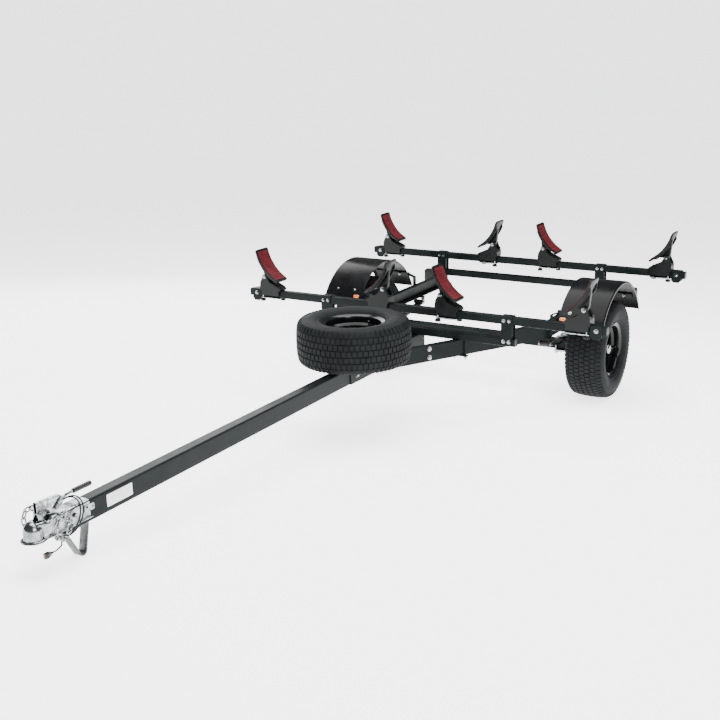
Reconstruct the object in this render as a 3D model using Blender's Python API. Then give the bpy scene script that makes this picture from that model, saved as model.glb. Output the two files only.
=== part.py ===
# Kayak trailer: a light road trailer with two load bars, eight tilting hull cradles and a spare wheel.
# Everything is drawn in the trailer's own level frame: X to its left, Y rearward from the middle of the
# ball socket, Z up from the tyres' contact height. At the end the whole trailer is set down as it
# parks, on its two tyres and the bent strap under the tongue, which tips its nose down.

import math

import bmesh
import bpy
from mathutils import Matrix, Vector

for old in list(bpy.data.objects):
    bpy.data.objects.remove(old, do_unlink=True)

# Every piece hangs under this empty, which carries the parked trailer's attitude.
TRAILER = bpy.data.objects.new("trailer_attitude", None)
bpy.context.scene.collection.objects.link(TRAILER)

# Clearance between pieces that touch, and the wall of the square tubes.
GAP = 0.0003
STEEL_WALL = 0.003

# Tongue beam: 2 by 3 inch steel tube.
TONGUE_WIDTH = 0.0508
TONGUE_HEIGHT = 0.0762
TONGUE_TOP = 0.437
TONGUE_BOTTOM = TONGUE_TOP - TONGUE_HEIGHT
TONGUE_FRONT = 0.118
TONGUE_REAR = 2.56

# Side rails: 3 inch channel that leaves the tongue at an angle and turns parallel again.
RAIL_WALL = 0.004
RAIL_FLANGE = 0.038
RAIL_SPREAD = math.radians(29.5)
RAIL_FRONT = 1.84
RAIL_LEAVES_TONGUE = 2.067
RAIL_HALF_WIDTH = 0.530
RAIL_REAR = 3.935
RAIL_BEND_RADIUS = 0.12
COPE_START = 0.010
COPE_END = 0.085

# Crossbeams, load bars and what joins them.
FRONT_BAR_Y = 2.497
REAR_BAR_Y = 3.830
BAR_SIZE = 0.0381
BAR_HALF_LENGTH = 0.985
BAR_Z = 0.561
BEAM_SIZE = 0.0381
BEAM_HALF_LENGTH = 0.545
BEAM_Z = TONGUE_TOP + GAP + BEAM_SIZE / 2
RISER_X = 0.503
RISER_WIDTH = 0.055
RISER_WALL = 0.004
ANCHOR_X = 0.938
ANCHOR_WIDTH = 0.053

# Wheels: 20.5 x 8.0-10 tyres on 10 inch rims.
TYRE_RADIUS = 0.260
TYRE_WIDTH = 0.203
WHEEL_X = 0.6975
RIM_RADIUS = 0.127
RIM_WIDTH = 0.158
AXLE_Y = 3.2445
AXLE_Z = 0.260
AXLE_SIZE = 0.0508
AXLE_HALF_LENGTH = 0.565
SPINDLE_RADIUS = 0.0135
SPINDLE_SHOULDER = 0.019
BOLT_CIRCLE = 0.0572
WHEEL_BOLTS = 5
WHEEL_STUD = 0.006
WHEEL_NUT = 0.0105
WHEEL_NUT_SPAN = (0.0113, 0.0230)
RIM_STEPS = 16
HUB_STEPS = 12
TYRE_STEPS = 24
SPARE_TYRE_STEPS = 20
SPARE_Y = 1.9205
SPARE_BOTTOM = 0.449

# Suspension: two-leaf springs under the rails, above the axle.
SPRING_X = 0.509
SPRING_WIDTH = 0.0445
SPRING_HALF_SPAN = 0.275
SPRING_RISE = 0.034
LEAF_THICKNESS = 0.0065
EYE_RADIUS = 0.0135
EYE_BORE = 0.0075
EYE_BOLT = 0.0065

# Fenders: rolled sheet arches.
FENDER_RADIUS = 0.350
FENDER_RAISE = 0.012
FENDER_WIDTH = 0.236
FENDER_SHEET = 0.003
FENDER_FIRST = math.radians(24.0)
FENDER_LAST = math.radians(156.0)
FENDER_STEPS = 12

# Ball coupler for a 2 inch ball.
BALL_Z = 0.412
SOCKET_RADIUS = 0.0258
DOME_RADIUS = 0.0315
DOME_STEPS = 18
COUPLER_SHEET = 0.003
COUPLER_REAR = 0.215
COUPLER_LIP_Z = 0.3815
LATCH_PIVOT = (0.026, 0.4585)
LATCH_BOX_LENGTH = 0.092
LATCH_BOX_HEIGHT = 0.052
LATCH_BOX_WIDTH = 0.038
CLAMP_PIVOT = (0.084, 0.4175)
CLAMP_PIN = 0.0035
JAW_THICKNESS = 0.005
JAW_HALF_WIDTH = 0.017
ROD_RADIUS = 0.004
GRIP_RADIUS = 0.0075

# Tongue stand: a bent flat strap.
STAND_WIDTH = 0.034
STAND_THICKNESS = 0.005
STAND_FOOT = (0.181, 0.268)
STAND_FOOT_RADIUS = 0.016

# Hull cradles, drawn for one side and mirrored.
CRADLE_PIVOT_X = 0.879
CRADLE_PIVOT_Z = BAR_Z + 0.092
KAYAK_CENTRE_X = 0.520
WING_WIDTH = 0.105
WING_SHEET = 0.010

# Hanging chains and lead.
LINK_PITCH = 0.0225
LINK_WIRE = 0.0026
LINK_WIDTH = 0.0195
LINK_BEARING = 0.0009
LINK_SIDES = 4
LEAD_RADIUS = 0.0024
PLUG_SIZE = (0.013, 0.026, 0.019)
PLUG_CENTRE = (0.047, 0.006, 0.3395)

BLACK_STEEL = ("#24292A", 0.38, 0.9)
BLACK_SHEET = ("#1B1F20", 0.28, 0.6)
ZINC = ("#C9CCCB", 0.30, 1.0)
STRAP_STEEL = ("#8A8A88", 0.50, 0.8)
TYRE_RUBBER = ("#26292B", 0.80, 0.0)
RIM_PAINT = ("#121415", 0.25, 0.5)
BLACK_PLASTIC = ("#1A1C1D", 0.55, 0.0)
RED_LENS = ("#A3151B", 0.15, 0.0)
SPRING_STEEL = ("#303234", 0.45, 0.9)


# Scene and object helpers.

def srgb_to_linear(channel):
    return channel / 12.92 if channel <= 0.04045 else ((channel + 0.055) / 1.055) ** 2.4


def make_material(name, look):
    code, roughness, metallic = look
    material = bpy.data.materials.new(name)
    material.use_nodes = True
    shader = material.node_tree.nodes["Principled BSDF"]
    rgb = [srgb_to_linear(int(code[i:i + 2], 16) / 255) for i in (1, 3, 5)]
    shader.inputs["Base Color"].default_value = (*rgb, 1.0)
    shader.inputs["Roughness"].default_value = roughness
    shader.inputs["Metallic"].default_value = metallic
    return material


def finish(name, solid, look, at=(0.0, 0.0, 0.0), smooth=35.0):
    """Turn a bmesh, drawn around the point at, into a named object under the trailer."""
    bmesh.ops.remove_doubles(solid, verts=solid.verts, dist=1e-6)
    bmesh.ops.recalc_face_normals(solid, faces=solid.faces)
    mesh = bpy.data.meshes.new(name)
    solid.to_mesh(mesh)
    solid.free()
    mesh.shade_smooth()
    mesh.set_sharp_from_angle(angle=math.radians(smooth))
    mesh.materials.append(make_material(name, look))
    piece = bpy.data.objects.new(name, mesh)
    bpy.context.scene.collection.objects.link(piece)
    piece.parent = TRAILER
    piece.location = at


def loft(sections, ring=False):
    """Closed solid through outlines with equal numbers of points; a ring has no end caps."""
    solid = bmesh.new()
    loops = [[solid.verts.new(point) for point in section] for section in sections]
    count = len(loops[0])
    pairs = list(zip(loops, loops[1:]))
    if ring:
        pairs.append((loops[-1], loops[0]))
    for first, second in pairs:
        for i in range(count):
            j = (i + 1) % count
            solid.faces.new((first[i], first[j], second[j], second[i]))
    if not ring:
        solid.faces.new(loops[0])
        solid.faces.new(reversed(loops[-1]))
    bmesh.ops.recalc_face_normals(solid, faces=solid.faces)
    return solid


def on_axis(axis, a, b, along):
    """A point from its two outline coordinates and its distance along an axis."""
    return {"X": (along, a, b), "Y": (a, along, b), "Z": (a, b, along)}[axis]


def prism(outline, start, end, axis):
    """Extrude an outline in YZ, XZ or XY along X, Y or Z."""
    return loft([[on_axis(axis, a, b, along) for a, b in outline] for along in (start, end)])


def tube(outer, inner, start, end, axis):
    """Extrude a hollow section whose two outlines have equal numbers of points."""
    solid = bmesh.new()
    rings = {}
    for key, outline, along in (("outer0", outer, start), ("outer1", outer, end),
                                ("inner0", inner, start), ("inner1", inner, end)):
        rings[key] = [solid.verts.new(on_axis(axis, a, b, along)) for a, b in outline]
    count = len(outer)
    for first, second in (("outer0", "outer1"), ("outer1", "inner1"),
                          ("inner1", "inner0"), ("inner0", "outer0")):
        for i in range(count):
            j = (i + 1) % count
            solid.faces.new((rings[first][i], rings[first][j], rings[second][j], rings[second][i]))
    bmesh.ops.recalc_face_normals(solid, faces=solid.faces)
    return solid


def arc(centre, radius, first, last, steps):
    """Points of a circle's arc, angles in radians."""
    angles = [first + (last - first) * i / steps for i in range(steps + 1)]
    return [(centre[0] + radius * math.cos(t), centre[1] + radius * math.sin(t)) for t in angles]


def circle(centre, radius, steps):
    return arc(centre, radius, 0.0, 2 * math.pi, steps)[:-1]


def rounded_rectangle(width, height, radius, centre=(0.0, 0.0), steps=3):
    points = []
    corners = ((1, 1, 0.0), (-1, 1, 0.5), (-1, -1, 1.0), (1, -1, 1.5))
    for side_x, side_y, turn in corners:
        corner = (centre[0] + side_x * (width / 2 - radius), centre[1] + side_y * (height / 2 - radius))
        points += arc(corner, radius, turn * math.pi, (turn + 0.5) * math.pi, steps)
    return points


def box(size, centre):
    outline = [(centre[0] + sx * size[0] / 2, centre[1] + sy * size[1] / 2)
               for sx, sy in ((-1, -1), (1, -1), (1, 1), (-1, 1))]
    return prism(outline, centre[2] - size[2] / 2, centre[2] + size[2] / 2, "Z")


def rod(start, end, radius, sides=10):
    """Straight round bar between two points."""
    start, end = Vector(start), Vector(end)
    return pipe([start, end], radius, sides)


def pipe(points, radius, sides=8, ring=False):
    """Round bar along a path; its section turns with the path without twisting."""
    points = [Vector(p) for p in points]
    count = len(points)
    tangents = []
    for i in range(count):
        before = points[i - 1] if (i > 0 or ring) else points[i]
        after = points[(i + 1) % count] if (i < count - 1 or ring) else points[i]
        tangents.append((after - before).normalized())
    seed = Vector((0, 0, 1)) if abs(tangents[0].z) < 0.9 else Vector((1, 0, 0))
    normal = seed.cross(tangents[0]).normalized()
    sections = []
    for i in range(count):
        normal = (normal - tangents[i] * normal.dot(tangents[i])).normalized()
        other = tangents[i].cross(normal)
        sections.append([points[i] + radius * (normal * math.cos(t) + other * math.sin(t))
                         for t in (2 * math.pi * k / sides for k in range(sides))])
    return loft(sections, ring)


def turned(profile, steps, centre, axis="X"):
    """Revolve a closed profile of (radius, distance along the axis) about an axis through centre."""
    solid = bmesh.new()
    places = {"X": lambda r, a: (a, r, 0.0), "Z": lambda r, a: (r, 0.0, a)}
    ring = [solid.verts.new(places[axis](r, a)) for r, a in profile]
    edges = [solid.edges.new((ring[i], ring[(i + 1) % len(ring)])) for i in range(len(ring))]
    direction = (1, 0, 0) if axis == "X" else (0, 0, 1)
    bmesh.ops.spin(solid, geom=ring + edges, cent=(0, 0, 0), axis=direction, angle=2 * math.pi,
                   steps=steps, use_merge=True)
    bmesh.ops.remove_doubles(solid, verts=solid.verts, dist=1e-6)
    loose = [e for e in solid.edges if not e.link_faces]
    bmesh.ops.delete(solid, geom=loose, context="EDGES")
    bmesh.ops.translate(solid, verts=solid.verts, vec=centre)
    bmesh.ops.recalc_face_normals(solid, faces=solid.faces)
    return solid


def strip(path, thickness, ring=False):
    """Outline or outlines of a bent flat bar: a path thickened to both sides."""
    points = [Vector(p) for p in path]
    count = len(points)
    sides = ([], [])
    for i in range(count):
        ends = []
        if i > 0 or ring:
            ends.append((points[i] - points[i - 1]).normalized())
        if i < count - 1 or ring:
            ends.append((points[(i + 1) % count] - points[i]).normalized())
        along = sum(ends, Vector((0, 0))).normalized()
        across = Vector((-along.y, along.x))
        reach = thickness / 2 / max(0.5, across.dot(Vector((-ends[0].y, ends[0].x))))
        sides[0].append(tuple(points[i] + across * reach))
        sides[1].append(tuple(points[i] - across * reach))
    if ring:
        return sides
    return sides[0] + sides[1][::-1]


def temporary(solid):
    mesh = bpy.data.meshes.new("temporary")
    solid.to_mesh(mesh)
    solid.free()
    piece = bpy.data.objects.new("temporary", mesh)
    bpy.context.scene.collection.objects.link(piece)
    return piece


def combine(solid, tools, operation):
    """Join the tools to a solid, or cut them out of it."""
    body = temporary(solid)
    cutters = [temporary(tool) for tool in tools]
    for cutter in cutters:
        step = body.modifiers.new(operation, "BOOLEAN")
        step.operation = operation
        step.solver = "EXACT"
        step.object = cutter
    evaluated = body.evaluated_get(bpy.context.evaluated_depsgraph_get())
    result = bmesh.new()
    result.from_mesh(evaluated.to_mesh())
    evaluated.to_mesh_clear()
    for used in [body] + cutters:
        mesh = used.data
        bpy.data.objects.remove(used, do_unlink=True)
        bpy.data.meshes.remove(mesh)
    bmesh.ops.dissolve_degenerate(result, edges=result.edges, dist=1e-6)
    return result


def joined(solids):
    return combine(solids[0], solids[1:], "UNION")


def cut(solid, tools):
    return combine(solid, tools, "DIFFERENCE")


def mirrored(solid):
    """Mirror a solid to the trailer's other side."""
    bmesh.ops.transform(solid, matrix=Matrix.Scale(-1, 4, (1, 0, 0)), verts=solid.verts)
    bmesh.ops.reverse_faces(solid, faces=solid.faces)
    return solid


def on_side(solid, side):
    return solid if side > 0 else mirrored(solid)


SIDES = (("left", 1), ("right", -1))
BARS = (("front", FRONT_BAR_Y), ("rear", REAR_BAR_Y))


# Tongue, rails and beams.

def tongue_beam():
    centre = (0.0, TONGUE_TOP - TONGUE_HEIGHT / 2)
    outer = rounded_rectangle(TONGUE_WIDTH, TONGUE_HEIGHT, 0.006, centre, 2)
    inner = rounded_rectangle(TONGUE_WIDTH - 2 * STEEL_WALL, TONGUE_HEIGHT - 2 * STEEL_WALL, 0.003, centre, 2)
    finish("tongue_beam", tube(outer, inner, TONGUE_FRONT, TONGUE_REAR, "Y"), BLACK_STEEL)


def rail_stations():
    """Outer face of a rail in plan: position, inward direction and flange width at each station."""
    start_x = TONGUE_WIDTH / 2 + GAP + RAIL_WALL
    run = (RAIL_HALF_WIDTH - start_x) / math.sin(RAIL_SPREAD)
    leave = Vector((start_x, RAIL_LEAVES_TONGUE))
    meet = leave + run * Vector((math.sin(RAIL_SPREAD), math.cos(RAIL_SPREAD)))
    setback = RAIL_BEND_RADIUS * math.tan(RAIL_SPREAD / 2)
    stations = [(Vector((start_x, RAIL_FRONT)), 0.0)]
    steps = 4
    first_centre = Vector((start_x + RAIL_BEND_RADIUS, leave.y - setback))
    for i in range(steps + 1):
        angle = RAIL_SPREAD * i / steps
        swing = Vector((-math.cos(angle), math.sin(angle))) * RAIL_BEND_RADIUS
        stations.append((first_centre + swing, angle))
    along = Vector((math.sin(RAIL_SPREAD), math.cos(RAIL_SPREAD)))
    stations.append((leave + along * (setback + COPE_START), RAIL_SPREAD))
    stations.append((leave + along * (setback + COPE_END), RAIL_SPREAD))
    second_centre = Vector((RAIL_HALF_WIDTH - RAIL_BEND_RADIUS, meet.y + setback))
    for i in range(steps + 1):
        angle = RAIL_SPREAD * (1 - i / steps)
        swing = Vector((math.cos(angle), -math.sin(angle))) * RAIL_BEND_RADIUS
        stations.append((second_centre + swing, angle))
    stations.append((Vector((RAIL_HALF_WIDTH, RAIL_REAR)), 0.0))
    return stations, steps + 2


def side_rail(name, side):
    stations, last_bare = rail_stations()
    sections = []
    for index, (place, angle) in enumerate(stations):
        inward = Vector((-math.cos(angle), math.sin(angle)))
        width = RAIL_WALL if index <= last_bare else RAIL_FLANGE
        top, bottom, wall = TONGUE_TOP, TONGUE_BOTTOM, RAIL_WALL
        outline = [(0, bottom), (0, top), (width, top), (width, top - wall), (wall, top - wall),
                   (wall, bottom + wall), (width, bottom + wall), (width, bottom)]
        sections.append([(place.x + inward.x * depth, place.y + inward.y * depth, z) for depth, z in outline])
    channel = loft(sections)
    bmesh.ops.remove_doubles(channel, verts=channel.verts, dist=1e-6)
    bmesh.ops.dissolve_degenerate(channel, edges=channel.edges, dist=1e-6)
    parts = [channel] + [spring_hanger(y) for y in (AXLE_Y - SPRING_HALF_SPAN, AXLE_Y + SPRING_HALF_SPAN)]
    finish(name, on_side(joined(parts), side), BLACK_STEEL)


def spring_hanger(y):
    """Two ears and an eye bolt, hanging from the rail's lower flange."""
    eye_z = spring_eye_z()
    ear = 0.004
    inside = SPRING_WIDTH / 2 + 0.0012
    outline = [(y - 0.020, TONGUE_BOTTOM + 0.001), (y - 0.014, eye_z)]
    outline += arc((y, eye_z), 0.014, math.pi, 2 * math.pi, 3)[1:-1]
    outline += [(y + 0.014, eye_z), (y + 0.020, TONGUE_BOTTOM + 0.001)]
    ears = [prism(outline, SPRING_X + sign * inside, SPRING_X + sign * (inside + ear), "X")
            for sign in (1, -1)]
    crown = box((2 * (inside + ear), 0.040, 0.003), (SPRING_X, y, TONGUE_BOTTOM - 0.0005))
    reach = inside + ear + 0.006
    bolt = rod((SPRING_X - reach, y, eye_z), (SPRING_X + reach, y, eye_z), EYE_BOLT, 6)
    return joined([crown] + ears + [bolt])


def beam_clamp(x, y, width):
    """U-bolt and plate that hold a crossbeam down on a rail."""
    bottom = TONGUE_BOTTOM - 0.012
    legs = []
    for side in (-1, 1):
        leg_x = x + side * width / 2
        legs.append(rod((leg_x, y, BEAM_Z - 0.012), (leg_x, y, bottom), 0.0045, 5))
    plate = box((width + 0.022, 0.026, 0.005), (x, y, TONGUE_BOTTOM - GAP - 0.0025))
    return legs + [plate]


def slanted_rail_at(y):
    """Middle and breadth in X of the spreading rail where a crossbeam passes over it."""
    outer = TONGUE_WIDTH / 2 + GAP + RAIL_WALL + (y - RAIL_LEAVES_TONGUE) * math.tan(RAIL_SPREAD)
    breadth = RAIL_FLANGE / math.cos(RAIL_SPREAD)
    return outer - breadth / 2, breadth


def crossbeam(name, y, clamp_x, clamp_width):
    centre = (y, BEAM_Z)
    outer = rounded_rectangle(BEAM_SIZE, BEAM_SIZE, 0.004, centre, 2)
    inner = rounded_rectangle(BEAM_SIZE - 2 * STEEL_WALL, BEAM_SIZE - 2 * STEEL_WALL, 0.002, centre, 2)
    beam = tube(outer, inner, -BEAM_HALF_LENGTH, BEAM_HALF_LENGTH, "X")
    clamps = beam_clamp(clamp_x, y, clamp_width) + beam_clamp(-clamp_x, y, clamp_width)
    finish(name, joined([beam] + clamps), BLACK_STEEL)


def load_bar(name, y):
    centre = (y, BAR_Z)
    outer = rounded_rectangle(BAR_SIZE, BAR_SIZE, 0.004, centre, 2)
    inner = rounded_rectangle(BAR_SIZE - 2 * STEEL_WALL, BAR_SIZE - 2 * STEEL_WALL, 0.002, centre, 2)
    finish(name, tube(outer, inner, -BAR_HALF_LENGTH, BAR_HALF_LENGTH, "X"), BLACK_STEEL)


def bar_riser(name, side, y):
    """Bent plate over the load bar whose two legs straddle the crossbeam; a spacer block sits between."""
    inside = BAR_SIZE / 2 + GAP
    outside = inside + RISER_WALL
    top = BAR_Z + BAR_SIZE / 2 + GAP
    foot = BEAM_Z - 0.012
    bend = 0.003
    outline = [(-outside, foot), (-inside, foot), (-inside, top), (inside, top), (inside, foot),
               (outside, foot)]
    outline += arc((outside - bend, top + RISER_WALL - bend), bend, 0.0, math.pi / 2, 2)
    outline += arc((-outside + bend, top + RISER_WALL - bend), bend, math.pi / 2, math.pi, 2)
    x0, x1 = RISER_X - RISER_WIDTH / 2, RISER_X + RISER_WIDTH / 2
    plate = prism([(y + a, z) for a, z in outline], x0, x1, "X")
    low = BEAM_Z + BEAM_SIZE / 2 + GAP
    high = BAR_Z - BAR_SIZE / 2 - GAP
    block = box((RISER_WIDTH - 0.012, 2 * inside + 0.002, high - low), (RISER_X, y, (high + low) / 2))
    finish(name, on_side(joined([plate, block]), side), BLACK_STEEL)


def strap_anchor(name, side, y):
    """Clip over the bar's end with chamfered lower corners, where a lashing strap hooks in."""
    inside = BAR_SIZE / 2 + GAP
    outside = inside + 0.004
    top = BAR_Z + BAR_SIZE / 2 + GAP
    foot = BAR_Z - 0.042
    outline = [(-outside, foot), (-inside, foot), (-inside, top), (inside, top), (inside, foot),
               (outside, foot), (outside, top + 0.004), (-outside, top + 0.004)]
    x0, x1 = ANCHOR_X - ANCHOR_WIDTH / 2, ANCHOR_X + ANCHOR_WIDTH / 2
    clip = prism([(y + a, z) for a, z in outline], x0, x1, "X")
    chamfer = 0.014
    corners = []
    for edge, sign in ((x0, 1), (x1, -1)):
        triangle = [(edge - sign * 0.002, foot - 0.002), (edge + sign * chamfer, foot - 0.002),
                    (edge - sign * 0.002, foot + chamfer)]
        corners.append(prism(triangle, y - 0.03, y + 0.03, "Y"))
    finish(name, on_side(cut(clip, corners), side), BLACK_STEEL)


# Axle, springs and wheels.

def spring_eye_z():
    return spring_seat_z() + LEAF_THICKNESS / 2 + SPRING_RISE


def spring_seat_z():
    """Underside of the main leaf at the axle: it sits on the short leaf, which sits on the axle."""
    return AXLE_Z + AXLE_SIZE / 2 + GAP + LEAF_THICKNESS


def leaf_spring(name, side):
    middle = spring_seat_z() + LEAF_THICKNESS / 2
    count = 10

    def height(t):
        return middle + SPRING_RISE * t * t

    ends = SPRING_HALF_SPAN - EYE_RADIUS * 0.4
    long_path = [(AXLE_Y + ends * t, height(t)) for t in (-1 + 2 * i / count for i in range(count + 1))]
    reach = 0.62
    short_count = 4
    short_path = [(AXLE_Y + ends * t, height(t) - LEAF_THICKNESS + 0.0002)
                  for t in (reach * (-1 + 2 * i / short_count) for i in range(short_count + 1))]
    x0, x1 = SPRING_X - SPRING_WIDTH / 2, SPRING_X + SPRING_WIDTH / 2
    parts = [prism(strip(long_path, LEAF_THICKNESS), x0, x1, "X"),
             prism(strip(short_path, LEAF_THICKNESS), x0, x1, "X")]
    for end in (-1, 1):
        centre = (AXLE_Y + end * SPRING_HALF_SPAN, spring_eye_z())
        parts.append(prism(circle(centre, EYE_RADIUS, 8), x0, x1, "X"))
    solid = joined(parts)
    bores = []
    for end in (-1, 1):
        centre = (AXLE_Y + end * SPRING_HALF_SPAN, spring_eye_z())
        bores.append(prism(circle(centre, EYE_BORE, 8), x0 - 0.01, x1 + 0.01, "X"))
    finish(name, on_side(cut(solid, bores), side), SPRING_STEEL)


def spring_clamp(name, side):
    """Two U-bolts over the spring and round the axle, a pad on the spring and a plate under the axle."""
    top = spring_seat_z() + LEAF_THICKNESS + GAP + 0.0008
    bottom = AXLE_Z - AXLE_SIZE / 2 - GAP - 0.0005
    parts = [box((0.048, 0.082, 0.006), (SPRING_X, AXLE_Y, top + 0.003)),
             box((0.076, 0.090, 0.008), (SPRING_X, AXLE_Y, bottom - 0.004))]
    half = 0.029
    for leg_y in (AXLE_Y - 0.034, AXLE_Y + 0.034):
        path = [(SPRING_X - half, leg_y, bottom - 0.020), (SPRING_X - half, leg_y, top + 0.001),
                (SPRING_X - half + 0.007, leg_y, top + 0.009), (SPRING_X + half - 0.007, leg_y, top + 0.009),
                (SPRING_X + half, leg_y, top + 0.001), (SPRING_X + half, leg_y, bottom - 0.020)]
        parts.append(pipe(path, 0.005, 5))
        for leg_x in (SPRING_X - half, SPRING_X + half):
            nut = [(leg_x + a, leg_y + b) for a, b in circle((0, 0), 0.009, 6)]
            parts.append(prism(nut, bottom - 0.016, bottom - 0.007, "Z"))
    finish(name, on_side(joined(parts), side), ZINC)


def axle():
    """Square tube with a round spindle at each end and a drain hole under its middle."""
    centre = (AXLE_Y, AXLE_Z)
    outer = rounded_rectangle(AXLE_SIZE, AXLE_SIZE, 0.005, centre, 2)
    inner = rounded_rectangle(AXLE_SIZE - 0.010, AXLE_SIZE - 0.010, 0.0025, centre, 2)
    beam = tube(outer, inner, -AXLE_HALF_LENGTH, AXLE_HALF_LENGTH, "X")
    parts = [beam]
    for side in (1, -1):
        inward = side * (AXLE_HALF_LENGTH - 0.030)
        shoulder = side * (WHEEL_X - 0.034)
        tip = side * (WHEEL_X + 0.028)
        inside = AXLE_SIZE - 0.008
        plug = box((0.030, inside, inside), (side * (AXLE_HALF_LENGTH - 0.012), *centre))
        step = abs(shoulder - inward)
        length = abs(tip - inward)
        spindle = [(SPINDLE_SHOULDER, 0.0), (SPINDLE_SHOULDER, step), (SPINDLE_RADIUS, step),
                   (SPINDLE_RADIUS, length), (0.0, length), (0.0, 0.0)]
        parts += [plug, on_side(turned(spindle, 8, (abs(inward), *centre)), side)]
    solid = joined(parts)
    drain = rod((0.0, AXLE_Y, AXLE_Z), (0.0, AXLE_Y, AXLE_Z - 0.04), 0.004, 8)
    finish("axle", cut(solid, [drain]), BLACK_STEEL)


def bolt_place(index):
    """Place of a wheel bolt on its circle, the first one straight up."""
    angle = math.radians(90 + 360 / WHEEL_BOLTS * index)
    return BOLT_CIRCLE * math.cos(angle), BOLT_CIRCLE * math.sin(angle)


def wheel_hub(name, side):
    """Turned hub with its flange, five studs with nuts, and the grease cap."""
    clears = 1 / math.cos(math.pi / HUB_STEPS)
    bore = SPINDLE_RADIUS * clears + GAP
    seal = SPINDLE_SHOULDER * clears + GAP
    profile = [(seal, -0.060), (0.036, -0.060), (0.036, -0.006), (0.068, -0.004), (0.068, 0.006),
               (0.033, 0.006), (0.0285, 0.034), (0.0285, 0.056), (0.021, 0.065), (0.0, 0.066),
               (0.0, 0.030), (bore, 0.030), (bore, -0.0335), (seal, -0.0335)]
    parts = [turned(profile, HUB_STEPS, (0, 0, 0))]
    for i in range(WHEEL_BOLTS):
        y, z = bolt_place(i)
        parts.append(rod((0.004, y, z), (0.012, y, z), WHEEL_STUD, 6))
        parts.append(prism(circle((y, z), WHEEL_NUT, 6), *WHEEL_NUT_SPAN, "X"))
    finish(name, on_side(joined(parts), side), ZINC, (side * WHEEL_X, AXLE_Y, AXLE_Z))


def rim_solid():
    """Drop-centre rim with its disc, five bolt holes and a centre hole; outer side at +X."""
    half = RIM_WIDTH / 2
    seat = RIM_RADIUS - 0.0015
    well = seat - 0.018
    outer_side = [(seat + 0.016, half), (seat, half - 0.008), (seat - 0.001, half - 0.034),
                  (well, half - 0.044), (well, -half + 0.046), (seat, -half + 0.008), (seat + 0.016, -half)]
    back = [(seat + 0.0147, -half - 0.0027), (seat - 0.003, -half + 0.006),
            (well - 0.003, -half + 0.0447)]
    disc = [(well - 0.003, -0.012), (0.082, 0.0063), (0.037, 0.0063), (0.037, 0.0105), (0.082, 0.0105),
            (well - 0.003, -0.006)]
    front = [(well - 0.003, half - 0.0423), (seat - 0.0035, half - 0.032), (seat - 0.003, half - 0.006),
             (seat + 0.0147, half + 0.0027)]
    solid = turned(outer_side + back + disc + front, RIM_STEPS, (0, 0, 0))
    off_facet = 0.2
    holes = []
    for i in range(WHEEL_BOLTS):
        outline = arc(bolt_place(i), 0.0070, off_facet, off_facet + 2 * math.pi, 6)[:-1]
        holes.append(prism(outline, 0.0, 0.02, "X"))
    return cut(solid, holes)


def tyre_solid(steps):
    """Low wide tyre: rounded shoulders, two tread grooves, and beads that open to the rim."""
    half = TYRE_WIDTH / 2
    outside = [(RIM_RADIUS + 0.017, RIM_WIDTH / 2 - 0.0045), (0.165, half - 0.006), (0.205, half),
               (0.238, half - 0.008), (TYRE_RADIUS - 0.005, half - 0.024)]
    crown = []
    for groove_x in (0.026, -0.026):
        crown += [(TYRE_RADIUS, groove_x + 0.004), (TYRE_RADIUS - 0.006, groove_x),
                  (TYRE_RADIUS, groove_x - 0.004)]
    inside = [(RIM_RADIUS, RIM_WIDTH / 2 - 0.0085), (0.204, half - 0.014), (0.242, half - 0.030)]
    tread_side = outside + crown + [(r, -x) for r, x in outside[::-1]]
    air_side = [(r, -x) for r, x in inside] + inside[::-1]
    return turned(tread_side + air_side, steps, (0, 0, 0))


def edge_down(solid):
    """Turn a tyre so that, once the trailer is parked, an edge between two facets meets the ground."""
    turn = Matrix.Rotation(-parked_pitch(), 3, "X")
    bmesh.ops.rotate(solid, verts=solid.verts, cent=(0, 0, 0), matrix=turn)
    return solid


def road_wheel(label, side):
    place = (side * WHEEL_X, AXLE_Y, AXLE_Z)
    wheel_hub("hub_" + label, side)
    finish("rim_" + label, on_side(rim_solid(), side), RIM_PAINT, place)
    finish("tyre_" + label, edge_down(tyre_solid(TYRE_STEPS)), TYRE_RUBBER, place)


def laid_flat(solid):
    """Turn a wheel piece so that its outer side faces up."""
    turn = Matrix.Rotation(-math.pi / 2, 3, "Y")
    bmesh.ops.rotate(solid, verts=solid.verts, cent=(0, 0, 0), matrix=turn)
    return solid


def spare_wheel():
    place = (0.0, SPARE_Y, SPARE_BOTTOM + TYRE_WIDTH / 2)
    finish("spare_rim", laid_flat(rim_solid()), RIM_PAINT, place)
    finish("spare_tyre", laid_flat(tyre_solid(SPARE_TYRE_STEPS)), TYRE_RUBBER, place)


def spare_carrier():
    """Foot plate on the tongue, post and top plate under the rim, and two studs up through its holes."""
    disc_z = SPARE_BOTTOM + TYRE_WIDTH / 2
    plate = 0.006
    post_low, post_high = TONGUE_TOP + plate / 2, disc_z + plate / 3
    foot = box((0.090, 0.130, plate), (0.0, SPARE_Y, TONGUE_TOP + GAP + plate / 2))
    post = box((0.056, 0.056, post_high - post_low), (0.0, SPARE_Y, (post_low + post_high) / 2))
    top = box((0.060, 0.150, plate), (0.0, SPARE_Y, disc_z + plate / 2))
    studs = []
    for i in (1, 4):
        along, up = bolt_place(i)
        x, y = -up, SPARE_Y + along
        studs.append(rod((x, y, disc_z + 0.002), (x, y, disc_z + 0.030), WHEEL_STUD, 8))
        low, high = WHEEL_NUT_SPAN
        studs.append(prism(circle((x, y), WHEEL_NUT, 6), disc_z + low, disc_z + high, "Z"))
    finish("spare_carrier", joined([foot, post, top] + studs), ZINC)


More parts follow.
